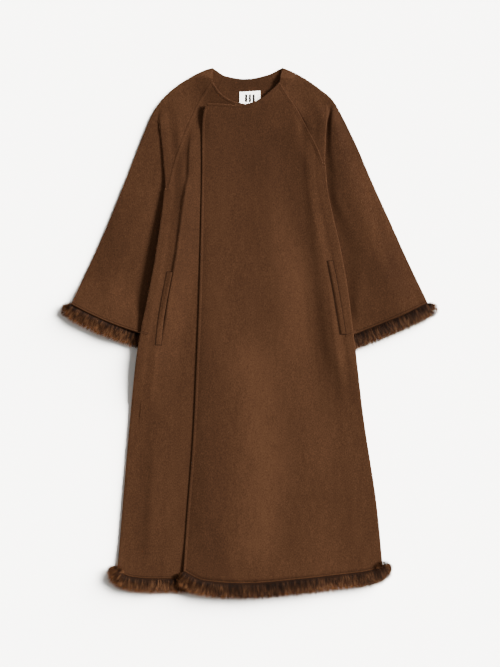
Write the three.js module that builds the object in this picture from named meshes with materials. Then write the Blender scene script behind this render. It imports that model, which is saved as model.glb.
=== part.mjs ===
// A long, collarless, A-line wool coat with raglan sleeves and fur at the hem and cuffs.
// It lies on its back, the wearer's left front lapped over the right. Millimetres.
// +X is to the wearer's left, +Y runs from hem to neck, +Z is up from the surface.
import * as THREE from 'three';

// Driving dimensions
const WALL = 2.2; // double-faced wool
const SEAM_GAP = 0.3; // air between two pieces that meet at a seam
const RIM_LEAN = 0.75; // how far a turned edge's leaning rim reaches past its middle
const PITCH = 4; // from the middle of one layer to the middle of the layer on it
const BEND_RADIUS = PITCH / 2; // of a folded edge, at the middle of the wall
const BACK_Z = WALL / 2; // middle of the layer that lies on the surface
const FRONT_Z = BACK_Z + PITCH;
const TUCK = 18; // how far the sleeve reaches under the body's side
const SIDE_STRIP = 50; // width over which the body climbs onto the sleeve
const FULL_LIFT = 21; // part of that width that lies flat on the sleeve
const PLEAT_RUN = 70; // length over which the underarm pleat turns under
const HEM_RUN = 60; // length over which the cloth rises to its fur
const HEM_RISE = 3.9; // height that it rises there
const LAP_RISE = 1.6; // more height where the left front's hem rides on the right's fur
const LAP_FADE = 28; // width over which the left front comes down past the hidden edge
const LAP_FUR_FADE = 40; // and over which its fur does
const CORNER_LIFT = 6; // of the lapped corner at the neck
const CORNER_RADIUS = 45;
const LABEL = { x: 3.7, y: 555, width: 49, height: 30, wall: 1, tilt: 2.8 };
const WELT = { width: 13, wall: 1.5, lift: 0.8 };
const FUR = { width: 35, back: [0, 6.9], front: [7.2, 18], under: [7.2, 12.9], lapped: [13.3, 24] };
const CUFF_FUR = { width: 35, back: [0, 5.2], front: [5.5, 16.5], pressed: 0.36, clear: 16 };
const FUR_GAP = 0.6; // between the cloth's edge and its fur
const PUFF_LENGTH = 26; // over which a fur strip's end rounds off
const PUFF_STEP = 8; // between the stations there
const PUFF_NARROW = 0.42; // width left at the very end, as a share
const PUFF_TURN = 0.85; // how far the fur turns out of the side there, as a share
const PUFF_LOW = 0.35; // height that is left whatever the width, as a share
const HEM_Y = -575; // where the hem's ends are read from the side and front edges
const SIDE_HEM_Y = -560;
const CHEST = { top: 541, low: 372 }; // stretch of the front edge that the raglan rows share out
const FRONT_INNER = 6.5; // from a front's fold to its first inner column
const BELOW_SEAM = 1.5; // how far the side strip starts below the seam's end
const CLEAR_STEP = 0.8; // how far a layer's own edge starts below the row over it
const BACK_RAMP = 142; // row length over which a sleeve's back reaches full width at its inner edge
const FUR_OVERLAP = 36; // width of the right front's fur that lies under the left's
const LAP_EDGE = 3; // how far past the hidden edge the left front stays high
const LAP_TOP = 578; // height where the lap starts at the neck
const LAP_TOP_RUN = 34; // and the length over which it rises

// Rows of the grids that the panels are laid out on
const RAGLAN_ROWS = 14;
const SIDE_ROWS = 18;
const ARM_ROWS = 9;
const BEND_STEPS = 4;

// Sides of the coat, as the sign of X
const RIGHT = { name: 'right', sign: -1 };
const LEFT = { name: 'left', sign: 1 };

// Outer edge of what lies on top: the fold at the armhole, then the side seam.
const SIDE_EDGE = [
  { y: 560, right: -226, left: 197 },
  { y: 530, right: -218, left: 189 },
  { y: 500, right: -211, left: 185 },
  { y: 440, right: -203.6, left: 181.8 },
  { y: 400, right: -200.6, left: 180.9 },
  { y: 350, right: -196.5, left: 183.6 },
  { y: 300, right: -200.7, left: 192.9 },
  { y: 200, right: -214.4, left: 216.3 },
  { y: 110, right: -230.8, left: 232.5 },
  { y: 10, right: -251.5, left: 245 },
  { y: -40, right: -260.4, left: 251.6 },
  { y: -200, right: -277.7, left: 270.6 },
  { y: -400, right: -294.6, left: 301.2 },
  { y: -600, right: -311.5, left: 320 },
];
// Front edge of the left front.
const FRONT_EDGE = [
  { y: 541, x: -98.5 },
  { y: 524, x: -104.9 },
  { y: 505, x: -108.8 },
  { y: 360, x: -110.1 },
  { y: 111, x: -115.7 },
  { y: -77, x: -122.8 },
  { y: -251, x: -131 },
  { y: -439, x: -145.8 },
  { y: -600, x: -156 },
];
const CENTRE_X = -1.8; // the right front's hidden edge mirrors the left front's about this line

// Hem: the back and right front, and the left front.
const HEM = [
  { x: -308, under: -548, over: -548 },
  { x: -304, under: -559, over: -559 },
  { x: -298, under: -566, over: -559 },
  { x: -284, under: -571.6, over: -559 },
  { x: -251, under: -576.6, over: -559 },
  { x: -216, under: -578, over: -559 },
  { x: -153.6, under: -577, over: -559 },
  { x: -133.6, under: -578, over: -570.9 },
  { x: -113.4, under: -580, over: -579.2 },
  { x: -85, under: -584, over: -585.3 },
  { x: 0, under: -588, over: -588 },
  { x: 111, under: -579, over: -579 },
  { x: 216, under: -568, over: -568 },
  { x: 269, under: -562, over: -562 },
  { x: 300, under: -555.5, over: -555.5 },
  { x: 311, under: -550, over: -550 },
  { x: 316, under: -543, over: -543 },
];
// Necklines, from the right raglan seam to the left.
const BACK_NECK = [
  { x: -58, y: 607.5 }, { x: -44.5, y: 604.3 }, { x: -22, y: 600 }, { x: -1.8, y: 599.6 },
  { x: 25.3, y: 603.4 }, { x: 54, y: 612 },
];
const RIGHT_NECK = [
  { x: -85, y: 592.3 }, { x: -80.8, y: 587 }, { x: -74.5, y: 576.8 }, { x: -62.4, y: 562 },
  { x: -44.5, y: 549.5 }, { x: -22, y: 542.2 }, { x: 16, y: 537 }, { x: 55, y: 539.6 }, { x: 95, y: 541 },
];
const LEFT_NECK = [
  { x: -98.5, y: 541 }, { x: -58.9, y: 539.6 }, { x: -19.2, y: 536.9 }, { x: 4.6, y: 541.3 },
  { x: 30.7, y: 552.1 }, { x: 56.8, y: 574.7 }, { x: 72, y: 589.6 },
];

// Sleeves above the underarm: front raglan seam, over-arm seam and back raglan seam, a row a section.
const RAGLAN = {
  right: [
    { seamX: -85, seamY: 592.3, outX: -83.1, outY: 624.5, backX: -58, backY: 607.5 },
    { seamX: -102, seamY: 569, outX: -106.8, outY: 617.7, backX: -75, backY: 566 },
    { seamX: -116, seamY: 545.5, outX: -143, outY: 598.5, backX: -88, backY: 530 },
    { seamX: -130, seamY: 516, outX: -180, outY: 573, backX: -101, backY: 492 },
    { seamX: -143.7, seamY: 486, outX: -217, outY: 533, backX: -114, backY: 452 },
    { seamX: -160.6, seamY: 441, outX: -241, outY: 481, backX: -127, backY: 408 },
    { seamX: -176, seamY: 395, outX: -260.5, outY: 432, backX: -138, backY: 366 },
    { seamX: -189.4, seamY: 337.7, outX: -284, outY: 371, backX: -148.8, backY: 323.4 },
  ],
  left: [
    { seamX: 72, seamY: 589.6, outX: 79.5, outY: 625, backX: 54, backY: 612 },
    { seamX: 87, seamY: 565, outX: 108, outY: 613.6, backX: 71, backY: 572 },
    { seamX: 101, seamY: 545, outX: 146, outY: 591, backX: 83, backY: 542 },
    { seamX: 113, seamY: 527, outX: 178, outY: 567, backX: 94, backY: 512 },
    { seamX: 124, seamY: 507, outX: 199, outY: 548.5, backX: 105, backY: 480 },
    { seamX: 139, seamY: 477, outX: 221.5, outY: 508, backX: 116, backY: 448 },
    { seamX: 157, seamY: 444, outX: 241.5, outY: 468, backX: 126, backY: 416 },
    { seamX: 174.7, seamY: 398, outX: 261.5, outY: 425, backX: 133.3, backY: 385 },
  ],
};
// Sleeves below the underarm: height where the hidden underarm seam starts the row, and over-arm seam.
const ARM = {
  right: [
    { innerY: 334, outX: -284, outY: 371 },
    { innerY: 265, outX: -308, outY: 311 },
    { innerY: 195, outX: -334.5, outY: 246 },
    { innerY: 115, outX: -366, outY: 175 },
    { innerY: 55, outX: -392, outY: 121 },
    { innerY: -5, outX: -416, outY: 67.5 },
  ],
  left: [
    { innerY: 394.7, outX: 261.5, outY: 425 },
    { innerY: 305, outX: 295, outY: 345 },
    { innerY: 215, outX: 331, outY: 267 },
    { innerY: 125, outX: 366.5, outY: 187 },
    { innerY: 58, outX: 394, outY: 129 },
    { innerY: -9, outX: 421.5, outY: 71 },
  ],
};
const PLEAT_START = { right: 526, left: 540 }; // height where the underarm pleat starts to turn
const UNDERARM = { right: { x: -196, y: 339.5 }, left: { x: 181, y: 400 } };
const ROW_SLOPE = { right: -0.352, left: 0.311 }; // of the sleeve's row at the underarm
const CUFF_BOW = { right: 7, left: 4 }; // how far the cuff's middle hangs past a straight line
// Height that the body's side is carried by the sleeve and cuff under it.
const SIDE_LIFT = [
  { y: 600, height: 8 }, { y: 120, height: 8 }, { y: 40, height: 11 },
  { y: -60, height: 11 }, { y: -210, height: 0 }, { y: -700, height: 0 },
];

// Soft folds of the fronts and sleeves: a straight ridge from one point to another.
const FOLDS = [
  { x1: -143, y1: 440, x2: -150, y2: 340, height: 1.6, width: 16 },
  { x1: -150, y1: 340, x2: -176, y2: 170, height: 2.6, width: 17 },
  { x1: 140, y1: 400, x2: 152, y2: 230, height: 2.2, width: 22 },
  { x1: 152, y1: 230, x2: 205, y2: -110, height: 2.6, width: 24 },
  { x1: 4, y1: -130, x2: 26, y2: -520, height: 3.2, width: 34 },
  { x1: -198, y1: -180, x2: -214, y2: -520, height: 3, width: 26 },
  { x1: -92, y1: -300, x2: -104, y2: -530, height: 2.4, width: 22 },
  { x1: 168, y1: -300, x2: 190, y2: -520, height: 2.2, width: 30 },
  { x1: -250, y1: 330, x2: -330, y2: 90, height: 2.4, width: 24 },
  { x1: 252, y1: 350, x2: 330, y2: 110, height: 2.6, width: 26 },
];
// Pocket welts, down their middle line.
const WELT_LINE = {
  right: [{ x: -184.3, y: 143.7 }, { x: -196.2, y: 83 }, { x: -205, y: 30 }, { x: -211, y: -26 }],
  left: [{ x: 192, y: 170 }, { x: 203, y: 114 }, { x: 213, y: 56 }, { x: 222, y: -1 }],
};

const COLOURS = { wool: 0x5b3b26, welt: 0x553622, fur: 0x4a3120, label: 0xe9e5da };

const ease = (t) => THREE.MathUtils.smoothstep(t, 0, 1);
const mix = (a, b, t) => a + (b - a) * t;

// A table's column as a smooth function of another column.
function lookup(table, by, key, value) {
  const rising = table[table.length - 1][by] > table[0][by];
  const past = (row) => (rising ? row[by] > value : row[by] < value);
  const found = table.findIndex(past);
  const k = THREE.MathUtils.clamp(found < 0 ? table.length - 1 : found, 1, table.length - 1);
  const slope = (i) => {
    const low = table[Math.max(i - 1, 0)];
    const high = table[Math.min(i + 1, table.length - 1)];
    const turns = (table[i][key] - low[key]) * (high[key] - table[i][key]) <= 0;
    const flat = turns && low !== table[i] && high !== table[i];
    return flat ? 0 : (high[key] - low[key]) / (high[by] - low[by]);
  };
  const [a, b] = [table[k - 1], table[k]];
  const step = b[by] - a[by];
  const t = THREE.MathUtils.clamp((value - a[by]) / step, 0, 1);
  const t2 = t * t;
  const t3 = t2 * t;
  return a[key] * (2 * t3 - 3 * t2 + 1) + slope(k - 1) * step * (t3 - 2 * t2 + t)
    + b[key] * (3 * t2 - 2 * t3) + slope(k) * step * (t3 - t2);
}

// A row between the rows of a table of sections, every column smoothed.
function section(table, t) {
  const k = Math.min(Math.floor(t), table.length - 2);
  const s = t - k;
  const rows = [k - 1, k, k + 1, k + 2].map((i) => table[THREE.MathUtils.clamp(i, 0, table.length - 1)]);
  const blend = (p) => p[1] + 0.5 * s * (p[2] - p[0] + s * (2 * p[0] - 5 * p[1] + 4 * p[2] - p[3]
    + s * (3 * (p[1] - p[2]) + p[3] - p[0])));
  return Object.fromEntries(Object.keys(rows[0]).map((key) => [key, blend(rows.map((row) => row[key]))]));
}

// A point a share of the way along a curve through a table's points.
function onCurve(table, share) {
  return new THREE.SplineCurve(table.map((row) => new THREE.Vector2(row.x, row.y))).getPointAt(share);
}

const sideX = (side, y) => lookup(SIDE_EDGE, 'y', side.name, y);
const frontX = (y) => lookup(FRONT_EDGE, 'y', 'x', y);
const hiddenFrontX = (y) => 2 * CENTRE_X - frontX(y);
const inside = (side, x, y) => (sideX(side, y) - x) * side.sign;

// The underarm pleat at a height: the angle it has turned, and its straight depth between the bends.
function pleat(side, y) {
  const start = PLEAT_START[side.name];
  const turn = Math.PI * ease((start - y) / PLEAT_RUN);
  const deepens = start - PLEAT_RUN / 2;
  const depth = 1 + (TUCK - 1) * ease((deepens - y) / (deepens - UNDERARM[side.name].y));
  return { turn: Math.max(turn, 0.001), depth };
}

// Height of the pleat's top over its bottom.
function pleatHeight(side, y) {
  const { turn, depth } = pleat(side, y);
  const radius = Math.PI * BEND_RADIUS / turn;
  return 2 * radius * (1 - Math.cos(turn)) + depth * Math.sin(turn);
}

// How far what lies at a point is carried up by the sleeve under the side.
const support = (distance) => 1 - ease((distance - FULL_LIFT) / (SIDE_STRIP - 2 - FULL_LIFT));
const carried = (side, x, y) => support(inside(side, x, y)) * lookup(SIDE_LIFT, 'y', 'height', y);

function folds(x, y) {
  return FOLDS.reduce((sum, fold) => {
    const along = new THREE.Vector2(fold.x2 - fold.x1, fold.y2 - fold.y1);
    const from = new THREE.Vector2(x - fold.x1, y - fold.y1);
    const share = THREE.MathUtils.clamp(from.dot(along) / along.lengthSq(), 0, 1);
    const distance = from.distanceTo(along.clone().multiplyScalar(share));
    return sum + fold.height * Math.exp(-((distance / fold.width) ** 2));
  }, 0);
}

// Middle of the back, and of the top layer, over a point of the surface.
const backHeight = (x, y) => BACK_Z + [RIGHT, LEFT].reduce((sum, side) => sum + carried(side, x, y), 0);
function topHeight(x, y) {
  const lifts = [RIGHT, LEFT].map((side) => {
    if (y < UNDERARM[side.name].y) return carried(side, x, y);
    return support(inside(side, x, y)) * pleatHeight(side, y);
  });
  return FRONT_Z + lifts[0] + lifts[1] + folds(x, y);
}
const hemRise = (y, hemY) => HEM_RISE * ease(1 - (y - hemY) / HEM_RUN);
// The left front, and the sleeve sewn to it, lie one layer higher over the right front.
function lap(x, y) {
  const across = 1 - ease((x - hiddenFrontX(y) - LAP_EDGE) / LAP_FADE);
  return PITCH * across * ease((LAP_TOP - y) / LAP_TOP_RUN);
}

// One closed body from points and triangles, its faces turned outward.
function solid(name, points, triangles, colour, roughness) {
  const volume = triangles.reduce((sum, [a, b, c]) => {
    return sum + points[a].dot(new THREE.Vector3().crossVectors(points[b], points[c]));
  }, 0);
  const faces = volume > 0 ? triangles : triangles.map(([a, b, c]) => [a, c, b]);
  const geometry = new THREE.BufferGeometry().setFromPoints(points);
  geometry.setIndex(faces.flat());
  geometry.computeVertexNormals();
  const material = new THREE.MeshStandardMaterial({ color: colour, roughness, metalness: 0 });
  const mesh = new THREE.Mesh(geometry, material);
  mesh.name = name;
  return mesh;
}

// A cloth wall round a grid of middle points, with a rim round the cells that exist.
function wall(name, columns, rows, middle, exists = () => true, thick = WALL, colour = COLOURS.wool) {
  const grid = [];
  for (let j = 0; j < rows; j += 1) {
    grid.push(Array.from({ length: columns }, (_, i) => middle(i, j)));
  }
  const cell = (i, j) => i >= 0 && j >= 0 && i < columns - 1 && j < rows - 1 && exists(i, j);
  const cornerCells = (i, j) => {
    return [[i - 1, j - 1], [i, j - 1], [i - 1, j], [i, j]].filter(([a, b]) => cell(a, b));
  };
  const points = [];
  const outer = new Map();
  for (let j = 0; j < rows; j += 1) {
    for (let i = 0; i < columns; i += 1) {
      const around = cornerCells(i, j);
      if (around.length === 0) continue;
      const normal = new THREE.Vector3();
      around.forEach(([a, b]) => {
        const across = new THREE.Vector3().subVectors(grid[b + 1][a + 1], grid[b][a]);
        const down = new THREE.Vector3().subVectors(grid[b][a + 1], grid[b + 1][a]);
        normal.add(across.cross(down).normalize());
      });
      normal.normalize().multiplyScalar(thick / 2);
      outer.set(i + columns * j, points.length);
      points.push(grid[j][i].clone().add(normal), grid[j][i].clone().sub(normal));
    }
  }
  const triangles = [];
  const quad = (a, b, c, d) => triangles.push([a, b, c], [a, c, d]);
  const at = (i, j) => outer.get(i + columns * j);
  for (let j = 0; j < rows - 1; j += 1) {
    for (let i = 0; i < columns - 1; i += 1) {
      if (!cell(i, j)) continue;
      const ring = [at(i, j), at(i + 1, j), at(i + 1, j + 1), at(i, j + 1)];
      quad(ring[0], ring[1], ring[2], ring[3]);
      quad(ring[3] + 1, ring[2] + 1, ring[1] + 1, ring[0] + 1);
      const neighbours = [[i, j - 1], [i + 1, j], [i, j + 1], [i - 1, j]];
      neighbours.forEach(([a, b], k) => {
        if (cell(a, b)) return;
        const [p, q] = [ring[k], ring[(k + 1) % 4]];
        quad(p, p + 1, q + 1, q);
      });
    }
  }
  return { mesh: solid(name, points, triangles, colour, 0.95), grid };
}

// Columns that round a folded edge, as the distance from it and the drop there.
const ROUND = [
  { in: 0, drop: BEND_RADIUS - SEAM_GAP / 2 - RIM_LEAN },
  { in: BEND_RADIUS * (1 - Math.SQRT1_2), drop: BEND_RADIUS * (1 - Math.SQRT1_2) },
  { in: BEND_RADIUS, drop: 0 },
];

// Body panels. Strip columns lie at set distances from the side edge and exist only below the
// underarm; the others share out the width between the two inner lines.
function bodyPanel(name, { start, end, shares, neck, hem, height, turn }) {
  const strip = (edge) => (edge.side ? edge.strip : []);
  const first = strip(start).length;
  const last = first + shares.length - 1;
  const columns = last + 1 + strip(end).length;
  const rows = RAGLAN_ROWS + 1 + SIDE_ROWS;
  // Where an inner line is at a row of the raglan zone.
  const anchor = (edge, j) => {
    if (!edge.side) return { x: edge.line(edge.fromY(j)), y: edge.fromY(j) };
    const row = section(RAGLAN[edge.side.name], j / 2);
    const gap = edge.side.sign * SEAM_GAP / 2;
    return { x: row[edge.seam + 'X'] - gap, y: row[edge.seam + 'Y'] - SEAM_GAP / 2 };
  };
  const stripTop = (edge, distance) => {
    const under = UNDERARM[edge.side.name];
    const x = sideX(edge.side, under.y) - edge.side.sign * distance;
    return { x, y: under.y + (x - under.x) * ROW_SLOPE[edge.side.name] - BELOW_SEAM };
  };
  const place = (i, j) => {
    const top = Math.min(j, RAGLAN_ROWS);
    const down = (j - top) / SIDE_ROWS;
    const a = anchor(start, top);
    const b = anchor(end, top);
    const share = THREE.MathUtils.clamp(i - first, 0, shares.length - 1);
    const f = shares[share];
    const near = i < first ? start : end;
    const distance = i < first ? strip(start)[i] : strip(end)[columns - 1 - i];
    const edgeX = (edge, y, p) => {
      if (!edge.side) return edge.line(y);
      const reach = inside(edge.side, p.x, p.y);
      return sideX(edge.side, y) - edge.side.sign * mix(reach, edge.inner, ease(down * 3));
    };
    if (i >= first && i <= last) {
      const neckEnd = neck[neck.length - 1];
      const neckY = lookup(neck, 'x', 'y', mix(neck[0].x, neckEnd.x, f));
      const bend = neckY - mix(neck[0].y, neckEnd.y, f);
      const y0 = mix(a.y, b.y, f) + bend * (1 - top / RAGLAN_ROWS) ** 2;
      if (down === 0) return { x: mix(a.x, b.x, f), y: y0 };
      const endY = lookup(HEM, 'x', hem, mix(edgeX(start, HEM_Y, a), edgeX(end, HEM_Y, b), f));
      const y = mix(y0, endY, down);
      return { x: mix(edgeX(start, y, a), edgeX(end, y, b), f), y };
    }
    const topPoint = stripTop(near, distance);
    const hemX = sideX(near.side, SIDE_HEM_Y) - near.side.sign * distance;
    const y = mix(topPoint.y, lookup(HEM, 'x', hem, hemX), down);
    return { x: sideX(near.side, y) - near.side.sign * distance, y };
  };
  const middle = (i, j) => {
    const { x, y } = place(i, j);
    const endY = lookup(HEM, 'x', hem, x);
    const fromEdge = i < first ? i : columns - 1 - i;
    const rounded = (i < first || i > last) && fromEdge < ROUND.length;
    const drop = rounded ? ROUND[fromEdge].drop * turn : 0;
    return new THREE.Vector3(x, y, height(x, y, endY) - drop);
  };
  const exists = (i, j) => (i >= first && i < last) || j >= RAGLAN_ROWS;
  return wall(name, columns, rows, middle, exists);
}

const BACK_STRIP = [...ROUND.map((r) => r.in), 11, FULL_LIFT, 31, 41];
const FRONT_STRIP = ROUND.map((r) => r.in);
const fromSeam = (width, distances, count) => {
  const near = distances.map((d) => d / width);
  const from = near[near.length - 1];
  return [...near, ...Array.from({ length: count }, (_, k) => mix(from, 1, (k + 1) / count))];
};
const FRONT_WIDTH = 310; // of a front between its two edges, at the chest
const SEAM_COLUMNS = [0, 7, 15, 25, 35, 46];
const EDGE_COLUMNS = [0, 9, 19, 31];

const back = bodyPanel('back', {
  start: { side: RIGHT, seam: 'back', strip: BACK_STRIP, inner: SIDE_STRIP },
  end: { side: LEFT, seam: 'back', strip: BACK_STRIP, inner: SIDE_STRIP },
  shares: Array.from({ length: 11 }, (_, k) => k / 10),
  neck: BACK_NECK,
  hem: 'under',
  height: (x, y, hemY) => backHeight(x, y) + hemRise(y, hemY),
  turn: -1,
});
const frontRight = bodyPanel('front_right', {
  start: { side: RIGHT, seam: 'seam', strip: FRONT_STRIP, inner: FRONT_INNER },
  end: { line: hiddenFrontX, fromY: (j) => mix(CHEST.top, CHEST.low, j / RAGLAN_ROWS) },
  shares: fromSeam(FRONT_WIDTH, SEAM_COLUMNS, 8),
  neck: RIGHT_NECK,
  hem: 'under',
  height: (x, y, hemY) => topHeight(x, y) + hemRise(y, hemY),
  turn: 1,
});
const cornerLift = (x, y) => {
  const distance = Math.hypot(x - FRONT_EDGE[0].x, y - FRONT_EDGE[0].y);
  return CORNER_LIFT * Math.exp(-((distance / CORNER_RADIUS) ** 2));
};
const lappedHem = (x, y, hemY) => LAP_RISE * (lap(x, y) / PITCH) * ease(1 - (y - hemY) / HEM_RUN);
const frontLeft = bodyPanel('front_left', {
  start: { line: frontX, fromY: (j) => mix(CHEST.top, CHEST.low, j / RAGLAN_ROWS) },
  end: { side: LEFT, seam: 'seam', strip: FRONT_STRIP, inner: FRONT_INNER },
  shares: [
    ...EDGE_COLUMNS.map((d) => d / FRONT_WIDTH),
    ...fromSeam(FRONT_WIDTH, SEAM_COLUMNS, 9).map((s) => 1 - s).reverse().slice(2),
  ],
  neck: LEFT_NECK,
  hem: 'over',
  height: (x, y, hemY) => topHeight(x, y) + lap(x, y) + hemRise(y, hemY) + lappedHem(x, y, hemY)
    + cornerLift(x, y),
  turn: 1,
});

// A sleeve's row: where it starts and ends, and how far down the sleeve it is.
function armRow(side, j, seam) {
  const below = j > RAGLAN_ROWS;
  const down = below ? (j - RAGLAN_ROWS) / ARM_ROWS : 0;
  if (!below) {
    const row = section(RAGLAN[side.name], j / 2);
    const gap = side.sign * SEAM_GAP / 2;
    const start = { x: row[seam + 'X'] + gap, y: row[seam + 'Y'] + SEAM_GAP / 2 };
    return { start, end: { x: row.outX, y: row.outY }, down };
  }
  const row = section(ARM[side.name], down * (ARM[side.name].length - 1));
  const start = { x: sideX(side, row.innerY) - side.sign * TUCK, y: row.innerY };
  return { start, end: { x: row.outX, y: row.outY }, down };
}

// The columns of a sleeve's lying layer, as distances along its row from one folded edge to the other.
function layerColumns(from, to, count) {
  const near = ROUND.map((r) => from + r.in);
  const far = ROUND.map((r) => to - r.in).reverse();
  const middle = Array.from({ length: count - 1 }, (_, k) => mix(near[2], far[0], (k + 1) / count));
  return [...near, ...middle, ...far];
}
const LAYER_STEPS = 5;
const LAYER_COLUMNS = 2 * ROUND.length + LAYER_STEPS - 1;

// A point along a row, with the cuff's bow.
function alongRow(side, row, distance) {
  const length = Math.hypot(row.end.x - row.start.x, row.end.y - row.start.y);
  const share = distance / length;
  const bow = CUFF_BOW[side.name] * row.down * Math.sin(Math.PI * THREE.MathUtils.clamp(share, 0, 1));
  return { x: mix(row.start.x, row.end.x, share), y: mix(row.start.y, row.end.y, share) - bow, length };
}
const cuffRise = (j) => HEM_RISE * ease((j - RAGLAN_ROWS - ARM_ROWS + 3) / 3);

// Drop of a layer's column for the folds at its two edges: the first only below the underarm.
function edgeDrop(k, below) {
  const last = LAYER_COLUMNS - 1 - k;
  if (last < ROUND.length) return ROUND[last].drop;
  return below && k < ROUND.length ? ROUND[k].drop : 0;
}

// Back half of a sleeve. The first columns lie above the underarm only.
function sleeveBack(side) {
  const extra = 4;
  const rows = RAGLAN_ROWS + 2 + ARM_ROWS;
  const reach = SIDE_STRIP - TUCK;
  const middle = (i, jj) => {
    const j = jj > RAGLAN_ROWS ? jj - 1 : jj;
    const second = jj === RAGLAN_ROWS + 1;
    const row = armRow(side, j, 'back');
    const { length } = alongRow(side, row, 0);
    const inner = j > RAGLAN_ROWS ? 0 : reach * Math.min(1, length / BACK_RAMP);
    const layer = layerColumns(inner, length, LAYER_STEPS);
    const distance = i < extra ? inner * i / extra : layer[i - extra];
    const { x, y } = alongRow(side, row, distance);
    const drop = i < extra ? 0 : edgeDrop(i - extra, j > RAGLAN_ROWS);
    return new THREE.Vector3(x, y - (second ? CLEAR_STEP : 0), BACK_Z + cuffRise(j) + drop);
  };
  const exists = (i, jj) => i >= extra || jj < RAGLAN_ROWS;
  return wall(`sleeve_${side.name}_back`, extra + LAYER_COLUMNS, rows, middle, exists);
}

// Front half of a sleeve, with the pleat that tucks it under the body at the armhole.
function sleeveFront(side) {
  const top = 3;
  const folded = top + 2 * BEND_STEPS + 1;
  const rows = RAGLAN_ROWS + 2 + ARM_ROWS;
  const height = (x, y) => topHeight(x, y) + (side === LEFT ? lap(x, y) : 0);
  const fold = (row, length) => {
    let [low, high] = [0, length];
    for (let n = 0; n < 30; n += 1) {
      const mid = (low + high) / 2;
      const p = alongRow(side, row, mid);
      if (inside(side, p.x, p.y) > BEND_RADIUS + WALL / 2) low = mid;
      else high = mid;
    }
    return low;
  };
  const rowShape = (j) => {
    const row = armRow(side, j, 'seam');
    const { length } = alongRow(side, row, 0);
    if (j > RAGLAN_ROWS) return { row, length, layer: layerColumns(0, length, LAYER_STEPS) };
    const guess = fold(row, length);
    const at = alongRow(side, row, guess);
    const { turn, depth } = pleat(side, at.y);
    const radius = Math.PI * BEND_RADIUS / turn;
    const advance = 2 * radius * Math.sin(turn) + depth * Math.cos(turn);
    const crest = Math.min(guess, length - Math.max(advance, 0) - 8);
    const layer = layerColumns(crest + advance, length, LAYER_STEPS);
    return { row, length, turn, depth, radius, crest, layer };
  };
  const shapes = [];
  // The pleat's section: a bend down, a straight, and a bend back, as distance along and drop.
  const profile = ({ turn, depth, radius }, k) => {
    const first = turn * Math.min(k, BEND_STEPS) / BEND_STEPS;
    const left = turn - turn * Math.max(k - BEND_STEPS - 1, 0) / BEND_STEPS;
    const straight = k > BEND_STEPS ? depth : 0;
    return {
      along: radius * (Math.sin(first) + Math.sin(turn) - Math.sin(left)) + straight * Math.cos(turn),
      drop: radius * (1 - Math.cos(first) + Math.cos(left) - Math.cos(turn)) + straight * Math.sin(turn),
    };
  };
  const middle = (i, jj) => {
    const j = jj > RAGLAN_ROWS ? jj - 1 : jj;
    const step = jj === RAGLAN_ROWS + 1 ? CLEAR_STEP : 0;
    shapes[j] ??= rowShape(j);
    const shape = shapes[j];
    const { row, crest } = shape;
    if (i < top) {
      const p = alongRow(side, row, j > RAGLAN_ROWS ? 0 : crest * i / top);
      return new THREE.Vector3(p.x, p.y, height(p.x, p.y));
    }
    if (i < folded) {
      if (j > RAGLAN_ROWS) return new THREE.Vector3(row.start.x, row.start.y, FRONT_Z);
      const from = alongRow(side, row, crest);
      const { along, drop } = profile(shape, i - top);
      const p = alongRow(side, row, crest + along);
      return new THREE.Vector3(p.x, p.y, height(from.x, from.y) - drop);
    }
    const k = i - folded;
    const p = alongRow(side, row, shape.layer[k]);
    const spread = ease((shape.layer[k] - shape.layer[0]) / 30);
    const z = FRONT_Z + folds(p.x, p.y) * spread + cuffRise(j) - edgeDrop(k, j > RAGLAN_ROWS);
    return new THREE.Vector3(p.x, p.y - step, z);
  };
  const exists = (i, jj) => i >= folded || jj < RAGLAN_ROWS;
  return wall(`sleeve_${side.name}_front`, folded + LAYER_COLUMNS, rows, middle, exists);
}

// Fur: a rounded section carried along a cloth edge. A station has its place, outward direction,
// width and lowest and highest point.
const FUR_SECTION = [
  { out: 0, up: 0.2 }, { out: 0.12, up: 0 }, { out: 0.84, up: 0 }, { out: 0.96, up: 0.2 },
  { out: 1, up: 0.45 }, { out: 0.96, up: 0.72 }, { out: 0.82, up: 0.93 }, { out: 0.5, up: 1 },
  { out: 0.18, up: 0.9 }, { out: 0, up: 0.62 },
];
function furStrip(name, stations) {
  const count = FUR_SECTION.length;
  const points = [];
  stations.forEach(({ x, y, outX, outY, width, low, high }) => {
    FUR_SECTION.forEach(({ out, up }) => {
      const far = FUR_GAP + out * width;
      points.push(new THREE.Vector3(x + outX * far, y + outY * far, mix(low, high, up)));
    });
  });
  const triangles = [];
  for (let s = 0; s < stations.length - 1; s += 1) {
    for (let k = 0; k < count; k += 1) {
      const [a, b] = [s * count + k, s * count + ((k + 1) % count)];
      triangles.push([a, b, b + count], [a, b + count, a + count]);
    }
  }
  const end = (stations.length - 1) * count;
  for (let k = 1; k < count - 1; k += 1) {
    triangles.push([0, k + 1, k], [end, end + k, end + k + 1]);
  }
  return solid(name, points, triangles, COLOURS.fur, 1);
}

// A line of points with more of them on its own chords near a puffed end.
function denser(line, puffs) {
  const nearPuff = (p) => puffs.some(({ end }) => {
    const tip = end === 'first' ? line[0] : line[line.length - 1];
    return Math.hypot(p.x - tip.x, p.y - tip.y) < PUFF_LENGTH;
  });
  return line.flatMap((p, k) => {
    const next = line[k + 1];
    if (!next) return [p];
    const length = Math.hypot(next.x - p.x, next.y - p.y);
    const parts = nearPuff(p) || nearPuff(next) ? Math.ceil(length / PUFF_STEP) : 1;
    return Array.from({ length: parts }, (_, n) => p.clone().lerp(next, n / parts));
  });
}

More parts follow.
